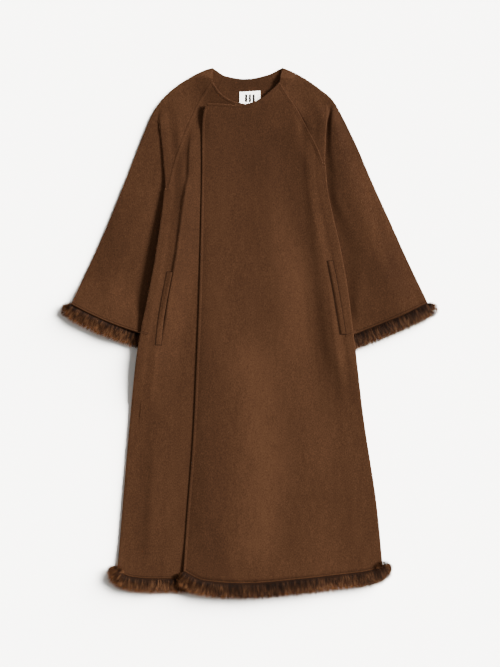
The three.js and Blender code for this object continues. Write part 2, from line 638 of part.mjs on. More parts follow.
// Stations along a line of points: the direction turns out of the side at an open, puffed end.
function stations(cloth, { width, layer, puffs, press = () => null }) {
  const line = denser(cloth, puffs);
  const lengths = [0];
  line.slice(1).forEach((p, k) => lengths.push(lengths[k] + Math.hypot(p.x - line[k].x, p.y - line[k].y)));
  return line.map((p, k) => {
    const before = line[Math.max(k - 1, 0)];
    const after = line[Math.min(k + 1, line.length - 1)];
    const along = new THREE.Vector2(after.x - before.x, after.y - before.y).normalize();
    const out = new THREE.Vector2(along.y, -along.x);
    let size = 1;
    puffs.forEach(({ end, way, lean }) => {
      const from = end === 'first' ? lengths[k] : lengths[line.length - 1] - lengths[k];
      const share = Math.min(from / PUFF_LENGTH, 1);
      size = Math.min(size, mix(PUFF_NARROW, 1, Math.sqrt(1 - (1 - share) ** 2)));
      out.lerp(new THREE.Vector2(way, lean).normalize(), (1 - ease(share)) * PUFF_TURN).normalize();
    });
    const [low, high] = press(p) ?? layer;
    return {
      x: p.x, y: p.y, outX: out.x, outY: out.y,
      width: width * size, low, high: mix(low, high, mix(PUFF_LOW, 1, size)),
    };
  });
}

const lastRow = (panel) => panel.grid[panel.grid.length - 1];
const overLap = (p) => (p.x > frontX(HEM_Y) - FUR_OVERLAP ? FUR.under : null);
const rightPuff = { end: 'first', way: -1, lean: 0.1 };
const leftPuff = { end: 'last', way: 1, lean: 0.1 };
const hemLines = [
  { name: 'fur_hem_back', line: lastRow(back), layer: FUR.back, puffs: [rightPuff, leftPuff] },
  { name: 'fur_hem_right', line: lastRow(frontRight), layer: FUR.front, puffs: [rightPuff], press: overLap },
  {
    name: 'fur_hem_left', line: lastRow(frontLeft), layer: FUR.front,
    puffs: [{ end: 'first', way: -0.7, lean: -0.7 }, leftPuff],
    press: (p) => {
      const over = 1 - ease((p.x - hiddenFrontX(HEM_Y) - LAP_EDGE) / LAP_FUR_FADE);
      return [mix(FUR.front[0], FUR.lapped[0], over), mix(FUR.front[1], FUR.lapped[1], over)];
    },
  },
];
const hemFur = hemLines.map(({ name, line, layer, puffs, press }) => {
  return furStrip(name, stations(line, { width: FUR.width, layer, puffs, press }));
});

// Cuff fur, pressed flat where the body's side lies on it.
function cuffFur(side, half, panel) {
  const row = lastRow(panel).slice(-LAYER_COLUMNS);
  const line = side === RIGHT ? row.slice().reverse() : row;
  const [low, high] = CUFF_FUR[half];
  const press = (p) => {
    const flat = 1 - ease((-inside(side, p.x, p.y) - CUFF_FUR.clear) / CUFF_FUR.clear);
    const pressedHigh = mix(high, half === 'back' ? high : low + (high - low) * CUFF_FUR.pressed, flat);
    return [low, pressedHigh];
  };
  const outer = side === RIGHT
    ? { end: 'first', way: -1, lean: 0.05 }
    : { end: 'last', way: 1, lean: 0.05 };
  return furStrip(`fur_cuff_${side.name}_${half}`, stations(line, {
    width: CUFF_FUR.width, layer: [low, high], puffs: [outer], press,
  }));
}

// Height of a panel's middle over a point, on the panel's own triangles.
function onPanel(panel, x, y) {
  const found = new THREE.Vector3();
  const test = new THREE.Triangle();
  const flat = (p) => new THREE.Vector3(p.x, p.y, 0);
  for (let j = RAGLAN_ROWS; j < panel.grid.length - 1; j += 1) {
    for (let i = 0; i < panel.grid[j].length - 1; i += 1) {
      const [a, b] = [panel.grid[j][i], panel.grid[j][i + 1]];
      const [d, c] = [panel.grid[j + 1][i], panel.grid[j + 1][i + 1]];
      for (const corners of [[a, b, c], [a, c, d]]) {
        test.set(...corners.map(flat));
        if (test.getArea() > 0 && test.containsPoint(new THREE.Vector3(x, y, 0))) {
          test.getBarycoord(new THREE.Vector3(x, y, 0), found);
          return found.x * corners[0].z + found.y * corners[1].z + found.z * corners[2].z;
        }
      }
    }
  }
  return topHeight(x, y);
}

// Pocket welt: a narrow strip that follows the front under it.
function welt(side, panel) {
  const rows = 13;
  const across = 3;
  const middle = (i, j) => {
    const share = j / (rows - 1);
    const p = onCurve(WELT_LINE[side.name], share);
    const x = p.x + (i / (across - 1) - 0.5) * WELT.width;
    const z = onPanel(panel, x, p.y) + WALL / 2 + SEAM_GAP + WELT.wall / 2 + WELT.lift;
    return new THREE.Vector3(x, p.y, z);
  };
  return wall(`welt_${side.name}`, across, rows, middle, undefined, WELT.wall, COLOURS.welt).mesh;
}

function label() {
  const middle = (i, j) => new THREE.Vector3(
    LABEL.x + (i / 3 - 0.5) * LABEL.width,
    LABEL.y + (0.5 - j / 2) * LABEL.height + (i / 3 - 0.5) * LABEL.tilt,
    WALL + SEAM_GAP + LABEL.wall / 2,
  );
  return wall('label', 4, 3, middle, undefined, LABEL.wall, COLOURS.label).mesh;
}

const sleeves = [RIGHT, LEFT].map((side) => ({ side, front: sleeveFront(side), back: sleeveBack(side) }));
const coat = new THREE.Group();
coat.add(back.mesh, frontRight.mesh, frontLeft.mesh);
sleeves.forEach(({ side, front, back: under }) => {
  coat.add(front.mesh, under.mesh, cuffFur(side, 'front', front), cuffFur(side, 'back', under));
  coat.add(welt(side, side === RIGHT ? frontRight : frontLeft));
});
coat.add(...hemFur, label());

// The origin is the middle of the coat's box, on the surface.
const centre = new THREE.Box3().setFromObject(coat).getCenter(new THREE.Vector3());
coat.position.set(-centre.x, -centre.y, 0);

export default coat;
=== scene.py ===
# %% [markdown]
# # A wool coat with fur edges, laid flat
#
# The coat is one long A-line shape in double-faced wool: a back, two fronts that lap, two raglan
# sleeves cut in halves, and short fur at the hem and cuffs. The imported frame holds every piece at
# its real size and place. This lesson gives each piece its surface: soft cloth walls, felled seam
# bands, pocket welts, combed fur and a woven label.

# %% Frame
import math

import bpy
import bmesh
import numpy as np
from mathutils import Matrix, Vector, noise
from mathutils.bvhtree import BVHTree


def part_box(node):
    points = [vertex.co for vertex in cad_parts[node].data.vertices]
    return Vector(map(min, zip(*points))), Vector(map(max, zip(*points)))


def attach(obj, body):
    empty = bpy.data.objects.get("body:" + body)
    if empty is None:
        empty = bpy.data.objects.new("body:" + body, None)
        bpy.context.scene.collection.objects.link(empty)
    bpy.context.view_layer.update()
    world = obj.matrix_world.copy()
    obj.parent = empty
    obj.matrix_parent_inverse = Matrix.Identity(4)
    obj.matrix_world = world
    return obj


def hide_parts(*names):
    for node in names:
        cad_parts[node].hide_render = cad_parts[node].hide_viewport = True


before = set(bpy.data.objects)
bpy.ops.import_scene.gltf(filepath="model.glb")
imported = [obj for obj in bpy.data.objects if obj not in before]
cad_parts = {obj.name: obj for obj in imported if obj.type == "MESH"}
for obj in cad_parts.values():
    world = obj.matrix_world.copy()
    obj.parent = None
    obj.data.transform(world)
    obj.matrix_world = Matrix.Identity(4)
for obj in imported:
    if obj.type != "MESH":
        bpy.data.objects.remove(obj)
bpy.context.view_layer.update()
MM = 0.001
print("frame loaded:", len(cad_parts), "nodes")

# %% [markdown]
# ## Camera
#
# The coat is seen from straight above, with the neck at the top. A long lens from far away keeps
# the sleeves as large at the edge of the frame as the body in the middle. The frame's height on the
# floor and the aspect of 500 by 667 give the lens, and no shift or blur is needed.

# %% Camera
VIEW_HEIGHT = 1.5675
VIEW_CENTRE = (0.0012, -0.0009)
CAMERA_HEIGHT = 5.0
# how high over the floor the coat's outline lies
OUTLINE_HEIGHT = 0.01
SENSOR = 0.036

bpy.ops.object.select_all(action="DESELECT")
bpy.ops.object.camera_add(location=(*VIEW_CENTRE, CAMERA_HEIGHT), rotation=(0, 0, 0))
camera = bpy.context.object
camera.data.sensor_width = SENSOR / MM
camera.data.lens = SENSOR / MM * (CAMERA_HEIGHT - OUTLINE_HEIGHT) / VIEW_HEIGHT
camera.data.clip_end = 50
bpy.context.scene.camera = camera
print("camera lens", round(camera.data.lens, 1), "mm")

# %% [markdown]
# ## Light
#
# A studio table is lit by one large soft lamp from the wearer's left, low enough to draw a shadow
# beside every raised edge, and by an even pale room that fills the shadows. A sun with a wide disc
# is as soft as such a lamp and lights the whole coat evenly, which a lamp close by would not. A
# second sun lights only the table and the label, so that they stay nearly white next to dark wool:
# it is linked to them once both are made.

# %% Light
KEY_FROM = Vector((0.88, 0.42, 0.52))
KEY_POWER = 5.95
KEY_SPREAD = math.radians(16)
TABLE_FROM = Vector((0.82, 0.45, 0.38))
TABLE_POWER = 61
TABLE_SPREAD = math.radians(50)
ROOM_STRENGTH = 0.34
ROOM_COLOUR = (1.0, 0.995, 0.985, 1)


def sun(name, way, power, spread):
    bpy.ops.object.light_add(type="SUN", location=way * 3)
    lamp = bpy.context.object
    lamp.name = name
    lamp.data.energy = power
    lamp.data.angle = spread
    lamp.rotation_mode = "QUATERNION"
    lamp.rotation_quaternion = (-way).to_track_quat("-Z", "Y")
    return lamp


sun("key", KEY_FROM, KEY_POWER, KEY_SPREAD)
table_lamp = sun("table_lamp", TABLE_FROM, TABLE_POWER, TABLE_SPREAD)
room = bpy.data.worlds.new("room")
room.use_nodes = True
room.node_tree.nodes["Background"].inputs["Color"].default_value = ROOM_COLOUR
room.node_tree.nodes["Background"].inputs["Strength"].default_value = ROOM_STRENGTH
bpy.context.scene.world = room
print("lights: key, table lamp and room")

# %% [markdown]
# ## Shader maths
#
# A finish is a few sums on noise: darker here, lighter there. Wiring each sum by hand hides the
# idea, so one small class wraps a socket and lets Python's own operators add the Math nodes. Every
# other node comes from one method that takes its type, its settings and its inputs.


# %% Shader maths
class Value:
    """A socket that can be added, subtracted and multiplied."""

    def __init__(self, finish, socket):
        self.finish = finish
        self.socket = socket

    def math(self, operation, first, second):
        return self.finish.node("Math", {"operation": operation}, {0: first, 1: second})

    def __add__(self, other):
        return self.math("ADD", self, other)

    def __sub__(self, other):
        return self.math("SUBTRACT", self, other)

    def __rsub__(self, other):
        return self.math("SUBTRACT", other, self)

    def __mul__(self, other):
        return self.math("MULTIPLY", self, other)

    __radd__ = __add__
    __rmul__ = __mul__

    def clamped(self):
        return self.finish.node("Clamp", {}, {0: self})


class Finish:
    """A material that is being wired round its one Principled shader."""

    def __init__(self, name):
        self.material = bpy.data.materials.new(name)
        self.material.use_nodes = True
        self.tree = self.material.node_tree
        self.shader = self.tree.nodes["Principled BSDF"]

    def node(self, kind, settings, inputs, output=0):
        made = self.tree.nodes.new("ShaderNode" + kind)
        for key_name, value in settings.items():
            if key_name == "stops":
                self.stops(made.color_ramp, value)
            else:
                setattr(made, key_name, value)
        for socket, value in inputs.items():
            self.connect(made.inputs[socket], value)
        return Value(self, made.outputs[output])

    def stops(self, ramp, stops):
        while len(ramp.elements) < len(stops):
            ramp.elements.new(0.5)
        for element, (place, colour) in zip(ramp.elements, stops):
            element.position = place
            element.color = (*colour, 1)

    def connect(self, socket, value):
        if isinstance(value, Value):
            self.tree.links.new(value.socket, socket)
        else:
            socket.default_value = value

    def set(self, **inputs):
        for name, value in inputs.items():
            self.connect(self.shader.inputs[name.replace("_", " ")], value)
        return self

    def coordinates(self, stretch=(1, 1, 1)):
        place = self.node("TexCoord", {}, {}, "Object")
        return self.node("Mapping", {}, {"Vector": place, "Scale": stretch})

    def noise(self, size, stretch=(1, 1, 1), detail=2.0, roughness=0.5):
        """Noise between 0 and 1 whose blots are about size metres across."""
        settings = {"Vector": self.coordinates(stretch), "Scale": 1 / size}
        return self.node("TexNoise", {}, {**settings, "Detail": detail, "Roughness": roughness}, 0)

    def attribute(self, name):
        return self.node("Attribute", {"attribute_name": name}, {}, "Fac")

    def ramp(self, value, stops):
        return self.node("ValToRGB", {"stops": stops}, {0: value})

    def bump(self, height, strength, distance):
        return self.node("Bump", {}, {"Height": height, "Strength": strength, "Distance": distance})


def point_values(mesh, name, values):
    """Stores one number for each point of a mesh, which a finish can read by its name."""
    layer = mesh.attributes.new(name, "FLOAT", "POINT")
    layer.data.foreach_set("value", values.astype(np.float32))


def srgb(red, green, blue):
    """A colour as it looks on a screen, from 0 to 255, as the linear values that a shader takes."""
    parts = [c / 255 for c in (red, green, blue)]
    return tuple(c / 12.92 if c <= 0.04045 else ((c + 0.055) / 1.055) ** 2.4 for c in parts)


# %% [markdown]
# ## Wool
#
# Double-faced wool is brushed and pressed, so no weave shows: only a short nap that lies down the
# cloth, a fine grain of fibre ends, and slow clouds where the nap was brushed another way. Three sizes
# of noise give those, the finest also as bump. A little sheen lifts the edges of folds. Every piece of
# wool also carries a tone at each of its points as an attribute, and the finish adds it: lighter and
# darker patches where the nap lies another way, and painted shade beside the crease on the right front,
# in the left sleeve's hollow and inside the back neck.

# %% Wool
WOOL_DARK = srgb(64, 40, 25)
WOOL_MID = srgb(82, 53, 34)
WOOL_LIGHT = srgb(100, 67, 45)
GRAIN_SIZE, NAP_SIZE, CLOUD_SIZE = 0.0019, 0.011, 0.14
# how dark the painted shade round the welts is
SEAM_SHADE = 0.42
# how dark the painted shade along the hems is
HEM_SHADE_TONE = 0.7


def wool_finish(name, shade):
    """Brown wool. A shade under 1 darkens all of it, for strips of painted shade beside seams."""
    wool = Finish(name)
    grain = wool.noise(GRAIN_SIZE, stretch=(1, 0.55, 1), detail=3.0, roughness=0.65)
    nap = wool.noise(NAP_SIZE, stretch=(1, 0.3, 1), detail=2.0)
    cloud = wool.noise(CLOUD_SIZE, stretch=(1, 0.6, 1), detail=3.0)
    tone = 0.5 + (grain - 0.5) * 2.0 + (nap - 0.5) * 0.35 + (cloud - 0.5) * 0.6
    # the tone of the nap patches and the painted shade stored on each point
    tone = (tone + wool.attribute("stroked")).clamped()
    stops = [(0.0, WOOL_DARK), (0.5, WOOL_MID), (1.0, WOOL_LIGHT)]
    colour = wool.ramp(tone, [(place, tuple(c * shade for c in rgb)) for place, rgb in stops])
    height = grain * 0.7 + nap * 0.5
    wool.set(Base_Color=colour, Roughness=0.86 + grain * 0.1, Normal=wool.bump(height, 0.55, 0.0006))
    wool.set(Sheen_Weight=0.05, Sheen_Roughness=0.45, Sheen_Tint=(*srgb(190, 140, 100), 1))
    wool.set(Specular_IOR_Level=0.1)
    return wool.material


# x, y, reach across and reach down in millimetres from the coat's centre, and how much lighter: patches
# of nap lying another way, and patches of painted shade
NAP_AND_SHADE_PATCHES = [
    (121, 102, 60, 120, 0.26), (18, -39, 70, 90, 0.18), (23, -274, 65, 150, 0.28),
    (63, -392, 60, 100, 0.13), (4, -498, 45, 60, 0.18), (-97, -321, 32, 200, -0.14),
    (-97, -533, 40, 70, -0.1), (23, 431, 110, 110, -0.2), (-163, 440, 40, 80, -0.12),
    # the next three are painted shade beside the crease on the right front and in the left sleeve's
    # hollow
    (-140, 240, 30, 80, -0.2), (-152, 150, 34, 110, -0.2), (345, 148, 50, 80, -0.22),
    (-285, 225, 60, 120, -0.1), (222, 410, 40, 110, -0.25), (188, 505, 60, 45, -0.25),
    # painted shade inside the back neck
    (-5, 588, 66, 26, -0.3),
]


def paint_nap_and_shade(piece, points):
    """Gives each point of a piece of wool its tone there, from patches of nap and of painted shade."""
    tone = np.zeros(len(points))
    for x, y, across, down, lighter in NAP_AND_SHADE_PATCHES:
        away = ((points[:, 0] / MM - x) / across) ** 2 + ((points[:, 1] / MM - y) / down) ** 2
        tone += lighter * np.exp(-away)
    point_values(piece.data, "stroked", tone)


wool_material = wool_finish("wool", 1.0)
seam_shade_material = wool_finish("wool_seam_shadow", SEAM_SHADE)
hem_shade_material = wool_finish("wool_painted_hem_shade", HEM_SHADE_TONE)
print("wool finishes made")

# %% [markdown]
# ## Fur
#
# Each hair is dark at its root, brown along its length and paler and warmer at its tip, and no two
# tufts are the same. Every strand carries two numbers, how far along it a point is and the tone of
# its tuft, and the finish reads them as attributes. Wide patches of noise vary the whole strip.

# %% Fur finish
fur_finish = Finish("fur")
along_hair = fur_finish.attribute("along")
tuft = fur_finish.attribute("tuft")
patch = fur_finish.noise(0.05, detail=2.0)
fur_tone = (along_hair * 0.5 + (tuft - 0.5) + (patch - 0.5) * 0.4 + 0.22).clamped()
FUR_STOPS = [
    (0.0, srgb(36, 22, 14)),
    (0.3, srgb(56, 35, 22)),
    (0.65, srgb(88, 57, 37)),
    (1.0, srgb(160, 110, 74)),
]
fur_finish.set(Base_Color=fur_finish.ramp(fur_tone, FUR_STOPS), Roughness=0.62 - along_hair * 0.1)
fur_finish.set(Specular_IOR_Level=0.06)
fur_material = fur_finish.material
print("fur finish made")

# %% [markdown]
# ## Cloth panels
#
# A panel is a wall of cloth a little over two millimetres thick. The frame's solid already lies in
# the right folds, but in flat facets. The panel is a copy of it: its loose triangles are merged and
# joined to quads, its cut edge is creased so that it stays where the seam is, and a Subdivision
# Surface rounds the rest. Modelling the wall again from a plane would lose the fit at the seams.


# %% Cloth panels
MERGE_WITHIN = 0.01 * MM
QUAD_FACE_ANGLE = math.radians(50)
QUAD_SHAPE_ANGLE = math.radians(75)
CUT_ANGLE = math.radians(62)
SMOOTH_ANGLE = math.radians(50)


def only(piece):
    """Selects one object and makes it the active one."""
    bpy.ops.object.select_all(action="DESELECT")
    piece.select_set(True)
    bpy.context.view_layer.objects.active = piece


def edit_all(*steps):
    """Runs edit-mode steps on everything in the active mesh."""
    bpy.ops.object.mode_set(mode="EDIT")
    bpy.ops.mesh.select_all(action="SELECT")
    for step in steps:
        step()
    bpy.ops.object.mode_set(mode="OBJECT")


def copy_node(node, name):
    """A merged copy of a frame node, in quads where its triangles pair up."""
    only(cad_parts[node])
    bpy.ops.object.duplicate()
    piece = bpy.context.object
    piece.name = piece.data.name = name
    edit_all(
        lambda: bpy.ops.mesh.remove_doubles(threshold=MERGE_WITHIN),
        lambda: bpy.ops.mesh.tris_convert_to_quads(
            face_threshold=QUAD_FACE_ANGLE, shape_threshold=QUAD_SHAPE_ANGLE
        ),
    )
    piece.data.materials.clear()
    return piece


def apply_modifier(piece, kind, **settings):
    only(piece)
    modifier = piece.modifiers.new(kind.title(), kind)
    for key_name, value in settings.items():
        setattr(modifier, key_name, value)
    bpy.ops.object.modifier_apply(modifier=modifier.name)


def crease_cut_edges(piece):
    """Marks the edges where the wall's faces meet its rim, so that rounding leaves them in place."""
    shape = bmesh.new()
    shape.from_mesh(piece.data)
    crease = shape.edges.layers.float.new("crease_edge")
    for edge in shape.edges:
        if len(edge.link_faces) == 2 and edge.calc_face_angle() > CUT_ANGLE:
            edge[crease] = 1.0
    shape.to_mesh(piece.data)
    shape.free()


def positions(piece):
    found = np.empty(len(piece.data.vertices) * 3)
    piece.data.vertices.foreach_get("co", found)
    return found.reshape(-1, 3)


def place(piece, points):
    piece.data.vertices.foreach_set("co", points.ravel())
    piece.data.update()


# %% [markdown]
# ## Folds, listed one by one
#
# Thick wool hardly creases, but it keeps a few long soft rolls where it was carried and laid down.
# Each is one line of a table: where its crest runs, how high it stands and how wide it is on either
# side. A narrow side makes a crease. The same table lifts every panel that it crosses, so a roll
# runs on over a seam as it does in cloth, and slow noise adds the unevenness of all laid cloth.

# %% Folds
# The tables are drawn from the coat's centre line, and the frame's origin is the middle of its box.
PLAN_X, PLAN_Y = 2.7, 0.3


def plan(points):
    """Where points lie on the coat's own plan, and how high, in millimetres."""
    return points[:, 0] / MM + PLAN_X, points[:, 1] / MM + PLAN_Y, points[:, 2] / MM


def eased(value):
    value = np.clip(value, 0, 1)
    return value * value * (3 - 2 * value)


# the crest's x and y from the top down, its height, and its width towards the wearer's right and left
ROLLS = [
    (
        [(-130, 490), (-137, 431), (-139, 372), (-150, 313), (-165, 196), (-186, 78), (-203, -40)],
        3.7, 5.2, 40,
    ),
    ([(-139, 380), (-150, 313), (-165, 196), (-186, 78), (-198, -10)], 2.4, 5.2, 34),
    ([(-163, 566), (-165, 458)], 2.2, 13, 28),
    ([(-178, 400), (-186, 300)], 1.0, 8, 9),
    ([(140, 440), (145, 384), (154, 243), (164, 172), (175, 78), (187, -16), (206, -110)], 1.7, 11, 22),
    ([(45, 450), (45, 250), (66, 150), (74, 60), (60, -80)], 2.4, 36, 34),
    ([(-44, -20), (-48, -300), (-46, -590)], 3.2, 44, 50),
    ([(-222, -240), (-236, -550)], 1.3, 16, 16),
    ([(232, -240), (252, -550)], 0.8, 20, 20),
    ([(112, -320), (122, -560)], 0.8, 22, 22),
    ([(-275, 370), (-352, 100)], 1.3, 15, 15),
    ([(-226, 340), (-292, 40)], 1.2, 13, 13),
    ([(290, 350), (372, 100)], 1.1, 15, 15),
    ([(-160, 566), (-206, 494)], 1.2, 11, 11),
    ([(150, 566), (178, 494)], 1.1, 11, 11),
]
ROLL_FADE = 60
WAVE_HEIGHT = 0.9 * MM
WAVE_SIZE = 0.16
RIPPLE_HEIGHT = 0.22 * MM
RIPPLE_SIZE = 0.035
RIPPLE_STRETCH = 0.6
# two layers of one noise, apart enough to have nothing in common
WAVE_LAYER, RIPPLE_LAYER = 3.0, 8.0


def roll_height(points):
    """How far the rolls lift the cloth at each point."""
    x, y, _ = plan(points)
    height = np.zeros(len(points))
    for crest, top, right, left in ROLLS:
        crest_x, crest_y = np.array(crest[::-1]).T
        away = x - np.interp(y, crest_y, crest_x)
        fade = min(ROLL_FADE, (crest_y[-1] - crest_y[0]) / 2)
        ends = eased((y - crest_y[0]) / fade) * eased((crest_y[-1] - y) / fade)
        height += top * ends * np.exp(-((away / np.where(away < 0, right, left)) ** 2))
    return height * MM


def wave_height(points):
    """The unevenness that any laid cloth has, never below the panel's own height."""
    found = []
    for x, y, _ in points:
        slow = noise.noise(Vector((x / WAVE_SIZE, y / WAVE_SIZE, WAVE_LAYER)))
        quick = noise.noise(Vector((x / RIPPLE_SIZE, y / RIPPLE_SIZE * RIPPLE_STRETCH, RIPPLE_LAYER)))
        found.append((slow + 0.5) * WAVE_HEIGHT + quick * RIPPLE_HEIGHT)
    return np.maximum(np.array(found), 0)


# %% [markdown]
# ## Where the body lies on the sleeves
#
# The sides of the body lie over the sleeves, so their cloth stands higher at the edge and comes down
# in a long soft arch. The frame's solids come down within a few centimetres: the coat takes that
# lift away and puts its own in its place. The neck stands up from the back, a sleeve is pressed low
# where it comes out from under the body and swells beyond, and the lapped edge is pressed flat.

# %% Sides, neck and lap
# y, then the x of the body's outer edge on the wearer's right and left, in millimetres
SIDE_EDGES = np.array([
    (560, -226, 197), (500, -211, 185), (440, -203.6, 181.8), (400, -200.6, 180.9),
    (350, -196.5, 183.6), (300, -200.7, 192.9), (200, -214.4, 216.3), (110, -230.8, 232.5),
    (10, -251.5, 245), (-40, -260.4, 251.6), (-200, -277.7, 270.6), (-600, -311.5, 320),
])[::-1]
# y, then how high the frame stands at that edge over the cloth further in, and how high the coat does
FRAME_LIFT_ROWS = ([-210, -60, 40, 120, 465, 535], [0, 11, 11, 8, 8, 0])
RIGHT_LIFT_ROWS = (
    [-215, -60, 196, 255, 314, 372, 440, 478, 535],
    [0, 17.5, 17.5, 14.5, 10, 5, 4, 3, 0],
)
LEFT_LIFT_ROWS = ([-215, -60, 40, 120, 465, 535], [0, 12.5, 12.5, 9.5, 9, 0])
# how far from the edge the lift begins to go and has gone, in the frame and in the coat
FRAME_REACH = (21, 48)
COAT_REACH = (10, 112)
# only the upper cloth is lifted: where it begins beside the edge, over what height, and further in
UPPER_FROM, UPPER_OVER, UPPER_INNER = 6.6, 3.6, 4
NECK_RISE = 7.5 * MM
NECK_REACH = 38
NECK_FROM, NECK_OVER = 3.2, 1.5
NECK_ROWS = ([480, 535, 572, 600, 617], [0.2, 0.5, 1, 1, 0])
# the curve of the neck's edge, x and y, in millimetres
NECK_CURVE = [
    (-83, 612), (-80, 590), (-62, 562), (-22, 542), (5, 541), (31, 552), (57, 575), (76, 606),
]
# the left sleeve: its swell, its outer edge, how far out the hollow reaches, and how it fades
SLEEVE_SWELL = 5.5 * MM
SLEEVE_OUTER_ROWS = ([71, 129, 187, 267, 345, 425, 508], [421, 394, 366, 331, 295, 261, 221])
HOLLOW_REACH_ROWS = ([60, 130, 196, 255, 314, 372, 430, 510], [15, 34, 60, 38, 17, 30, 15, 10])
OUTER_FADE_ROWS = ([330, 500], [75, 26])
HOLLOW_TOP, HOLLOW_TOP_FADE = 545, 35
HOLLOW_FOOT, HOLLOW_FOOT_FADE = 12, 50
# the lapped edge: where it runs, how deep and wide it is pressed, and the swell behind it
LAP_ROWS = (
    [-559, -439, -251, -77, 111, 360, 505, 541],
    [-153.6, -145.8, -131, -122.8, -115.7, -110.1, -108.8, -98.5],
)
LAP_DIP, LAP_DIP_WIDTH = 2.0, 12
LAP_SWELL, LAP_SWELL_AT, LAP_SWELL_WIDTH = 0.9, 40, 26
LAP_TOP, LAP_TOP_FADE = 530, 60


def remaining(inward, reach):
    """How much of a lift is left at a distance from the edge."""
    return 1 - eased((inward - reach[0]) / (reach[1] - reach[0]))


def side_rise(points):
    """The body's sides stand on the sleeves under them: a soft arch that only the upper cloth has."""
    x, y, z = plan(points)
    lift = np.zeros(len(points))
    frame_lift = np.interp(y, *FRAME_LIFT_ROWS)
    for column, sign, rows in ((1, -1, RIGHT_LIFT_ROWS), (2, 1, LEFT_LIFT_ROWS)):
        inward = sign * (np.interp(y, SIDE_EDGES[:, 0], SIDE_EDGES[:, column]) - x)
        before = frame_lift * remaining(inward, FRAME_REACH)
        after = np.interp(y, *rows) * remaining(inward, COAT_REACH)
        beside = eased((z - UPPER_FROM) / UPPER_OVER)
        upper = np.where(inward < FRAME_REACH[0], beside, z > UPPER_INNER)
        lift += upper * (after - before)
    return lift * MM


def neck_rise(points):
    """The fronts stand up a little round the neck, clear of the back."""
    x, y, z = plan(points)
    curve = np.array(NECK_CURVE)
    start, way = curve[:-1], np.diff(curve, axis=0)
    from_start = np.stack([x, y], axis=1)[:, None] - start[None]
    share = np.clip(np.einsum("nmk,mk->nm", from_start, way) / (way**2).sum(axis=1), 0, 1)
    near = np.linalg.norm(from_start - share[..., None] * way[None], axis=2).min(axis=1)
    upper = NECK_RISE * eased((z - NECK_FROM) / NECK_OVER)
    return upper * np.exp(-((near / NECK_REACH) ** 2)) * np.interp(y, *NECK_ROWS)


def sleeve_hollow(points):
    """The left sleeve lies low where it comes out from under the body, and swells beyond."""
    x, y, _ = plan(points)
    out = x - np.interp(y, SIDE_EDGES[:, 0], SIDE_EDGES[:, 2])
    rows = eased((HOLLOW_TOP - y) / HOLLOW_TOP_FADE) * eased((y - HOLLOW_FOOT) / HOLLOW_FOOT_FADE)
    inner = eased((out - 1) / np.interp(y, *HOLLOW_REACH_ROWS))
    outer = eased((np.interp(y, *SLEEVE_OUTER_ROWS) - x) / np.interp(y, *OUTER_FADE_ROWS))
    return SLEEVE_SWELL * rows * inner * outer


def lap_slope(points):
    """The lapped edge is pressed down and the cloth swells behind it."""
    x, y, _ = plan(points)
    back = x - np.interp(y, *LAP_ROWS)
    swell = LAP_SWELL * np.exp(-(((back - LAP_SWELL_AT) / LAP_SWELL_WIDTH) ** 2))
    dip = LAP_DIP * np.exp(-((back / LAP_DIP_WIDTH) ** 2))
    return (swell - dip) * MM * eased((LAP_TOP - y) / LAP_TOP_FADE)


def cloth_panel(node, moves):
    """A panel in rounded, folded wool. What lies underneath keeps its flat underside."""
    piece = copy_node(node, node + "_cloth")
    crease_cut_edges(piece)
    levels = MORE_ROUNDING.get(node, ROUNDING)
    apply_modifier(piece, "SUBSURF", levels=levels, render_levels=levels)
    points = positions(piece)
    lift = side_rise(points)
    if moves:
        lift += neck_rise(points) + roll_height(points) + wave_height(points)
    if node == "front_left":
        lift += lap_slope(points)
    if node == "sleeve_left_front":
        lift += sleeve_hollow(points)
    points[:, 2] += lift
    place(piece, points)
    paint_nap_and_shade(piece, points)
    only(piece)
    bpy.ops.object.shade_smooth_by_angle(angle=SMOOTH_ANGLE)
    piece.data.materials.append(wool_material)
    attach(piece, "root")
    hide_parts(node)
    return piece


TOP_PANELS = ["front_right", "front_left", "sleeve_right_front", "sleeve_left_front"]
UNDER_PANELS = ["back", "sleeve_right_back", "sleeve_left_back"]
# the right front has the sharpest crease, so its wall is rounded once more
ROUNDING = 2
MORE_ROUNDING = {"front_right": 3}
panels = {node: cloth_panel(node, True) for node in TOP_PANELS}
panels.update({node: cloth_panel(node, False) for node in UNDER_PANELS})
for node, piece in panels.items():
    print(node, len(piece.data.polygons), "faces")

# %% [markdown]
# ## Lines on the cloth
#
# Seam bands, welts and edges all follow a line on the panels. A line is read from the frame: a
# seam is where the rims of two panels face each other. A small tool drops any point onto the cloth
# below it, so that what is laid on a panel follows every roll in it.

# %% Lines on the cloth
# rays are dropped from well over the coat, and also a little beside a point, to bridge a seam's gap
ABOVE = 0.2
SPAN = 1.2 * MM
HEIGHT_OFF_CLOTH = 0.006


def tree_of(pieces):
    """One searchable surface of several pieces."""
    points, faces = [], []
    for piece in pieces:
        start = len(points)
        points.extend(v.co.copy() for v in piece.data.vertices)
        faces.extend([start + i for i in p.vertices] for p in piece.data.polygons)
    return BVHTree.FromPolygons(points, faces)


top_cloth = tree_of([panels[node] for node in TOP_PANELS])


def on_cloth(x, y, surface=top_cloth):
    """Height of the cloth at a point, or beside it where the point falls into a seam's gap."""
    found = []
    for aside, up in ((0, 0), (SPAN, 0), (-SPAN, 0), (0, SPAN), (0, -SPAN)):
        hit, _, _, _ = surface.ray_cast(Vector((x + aside, y + up, ABOVE)), Vector((0, 0, -1)))
        if hit:
            found.append(hit.z)
    return max(found, default=HEIGHT_OFF_CLOTH)


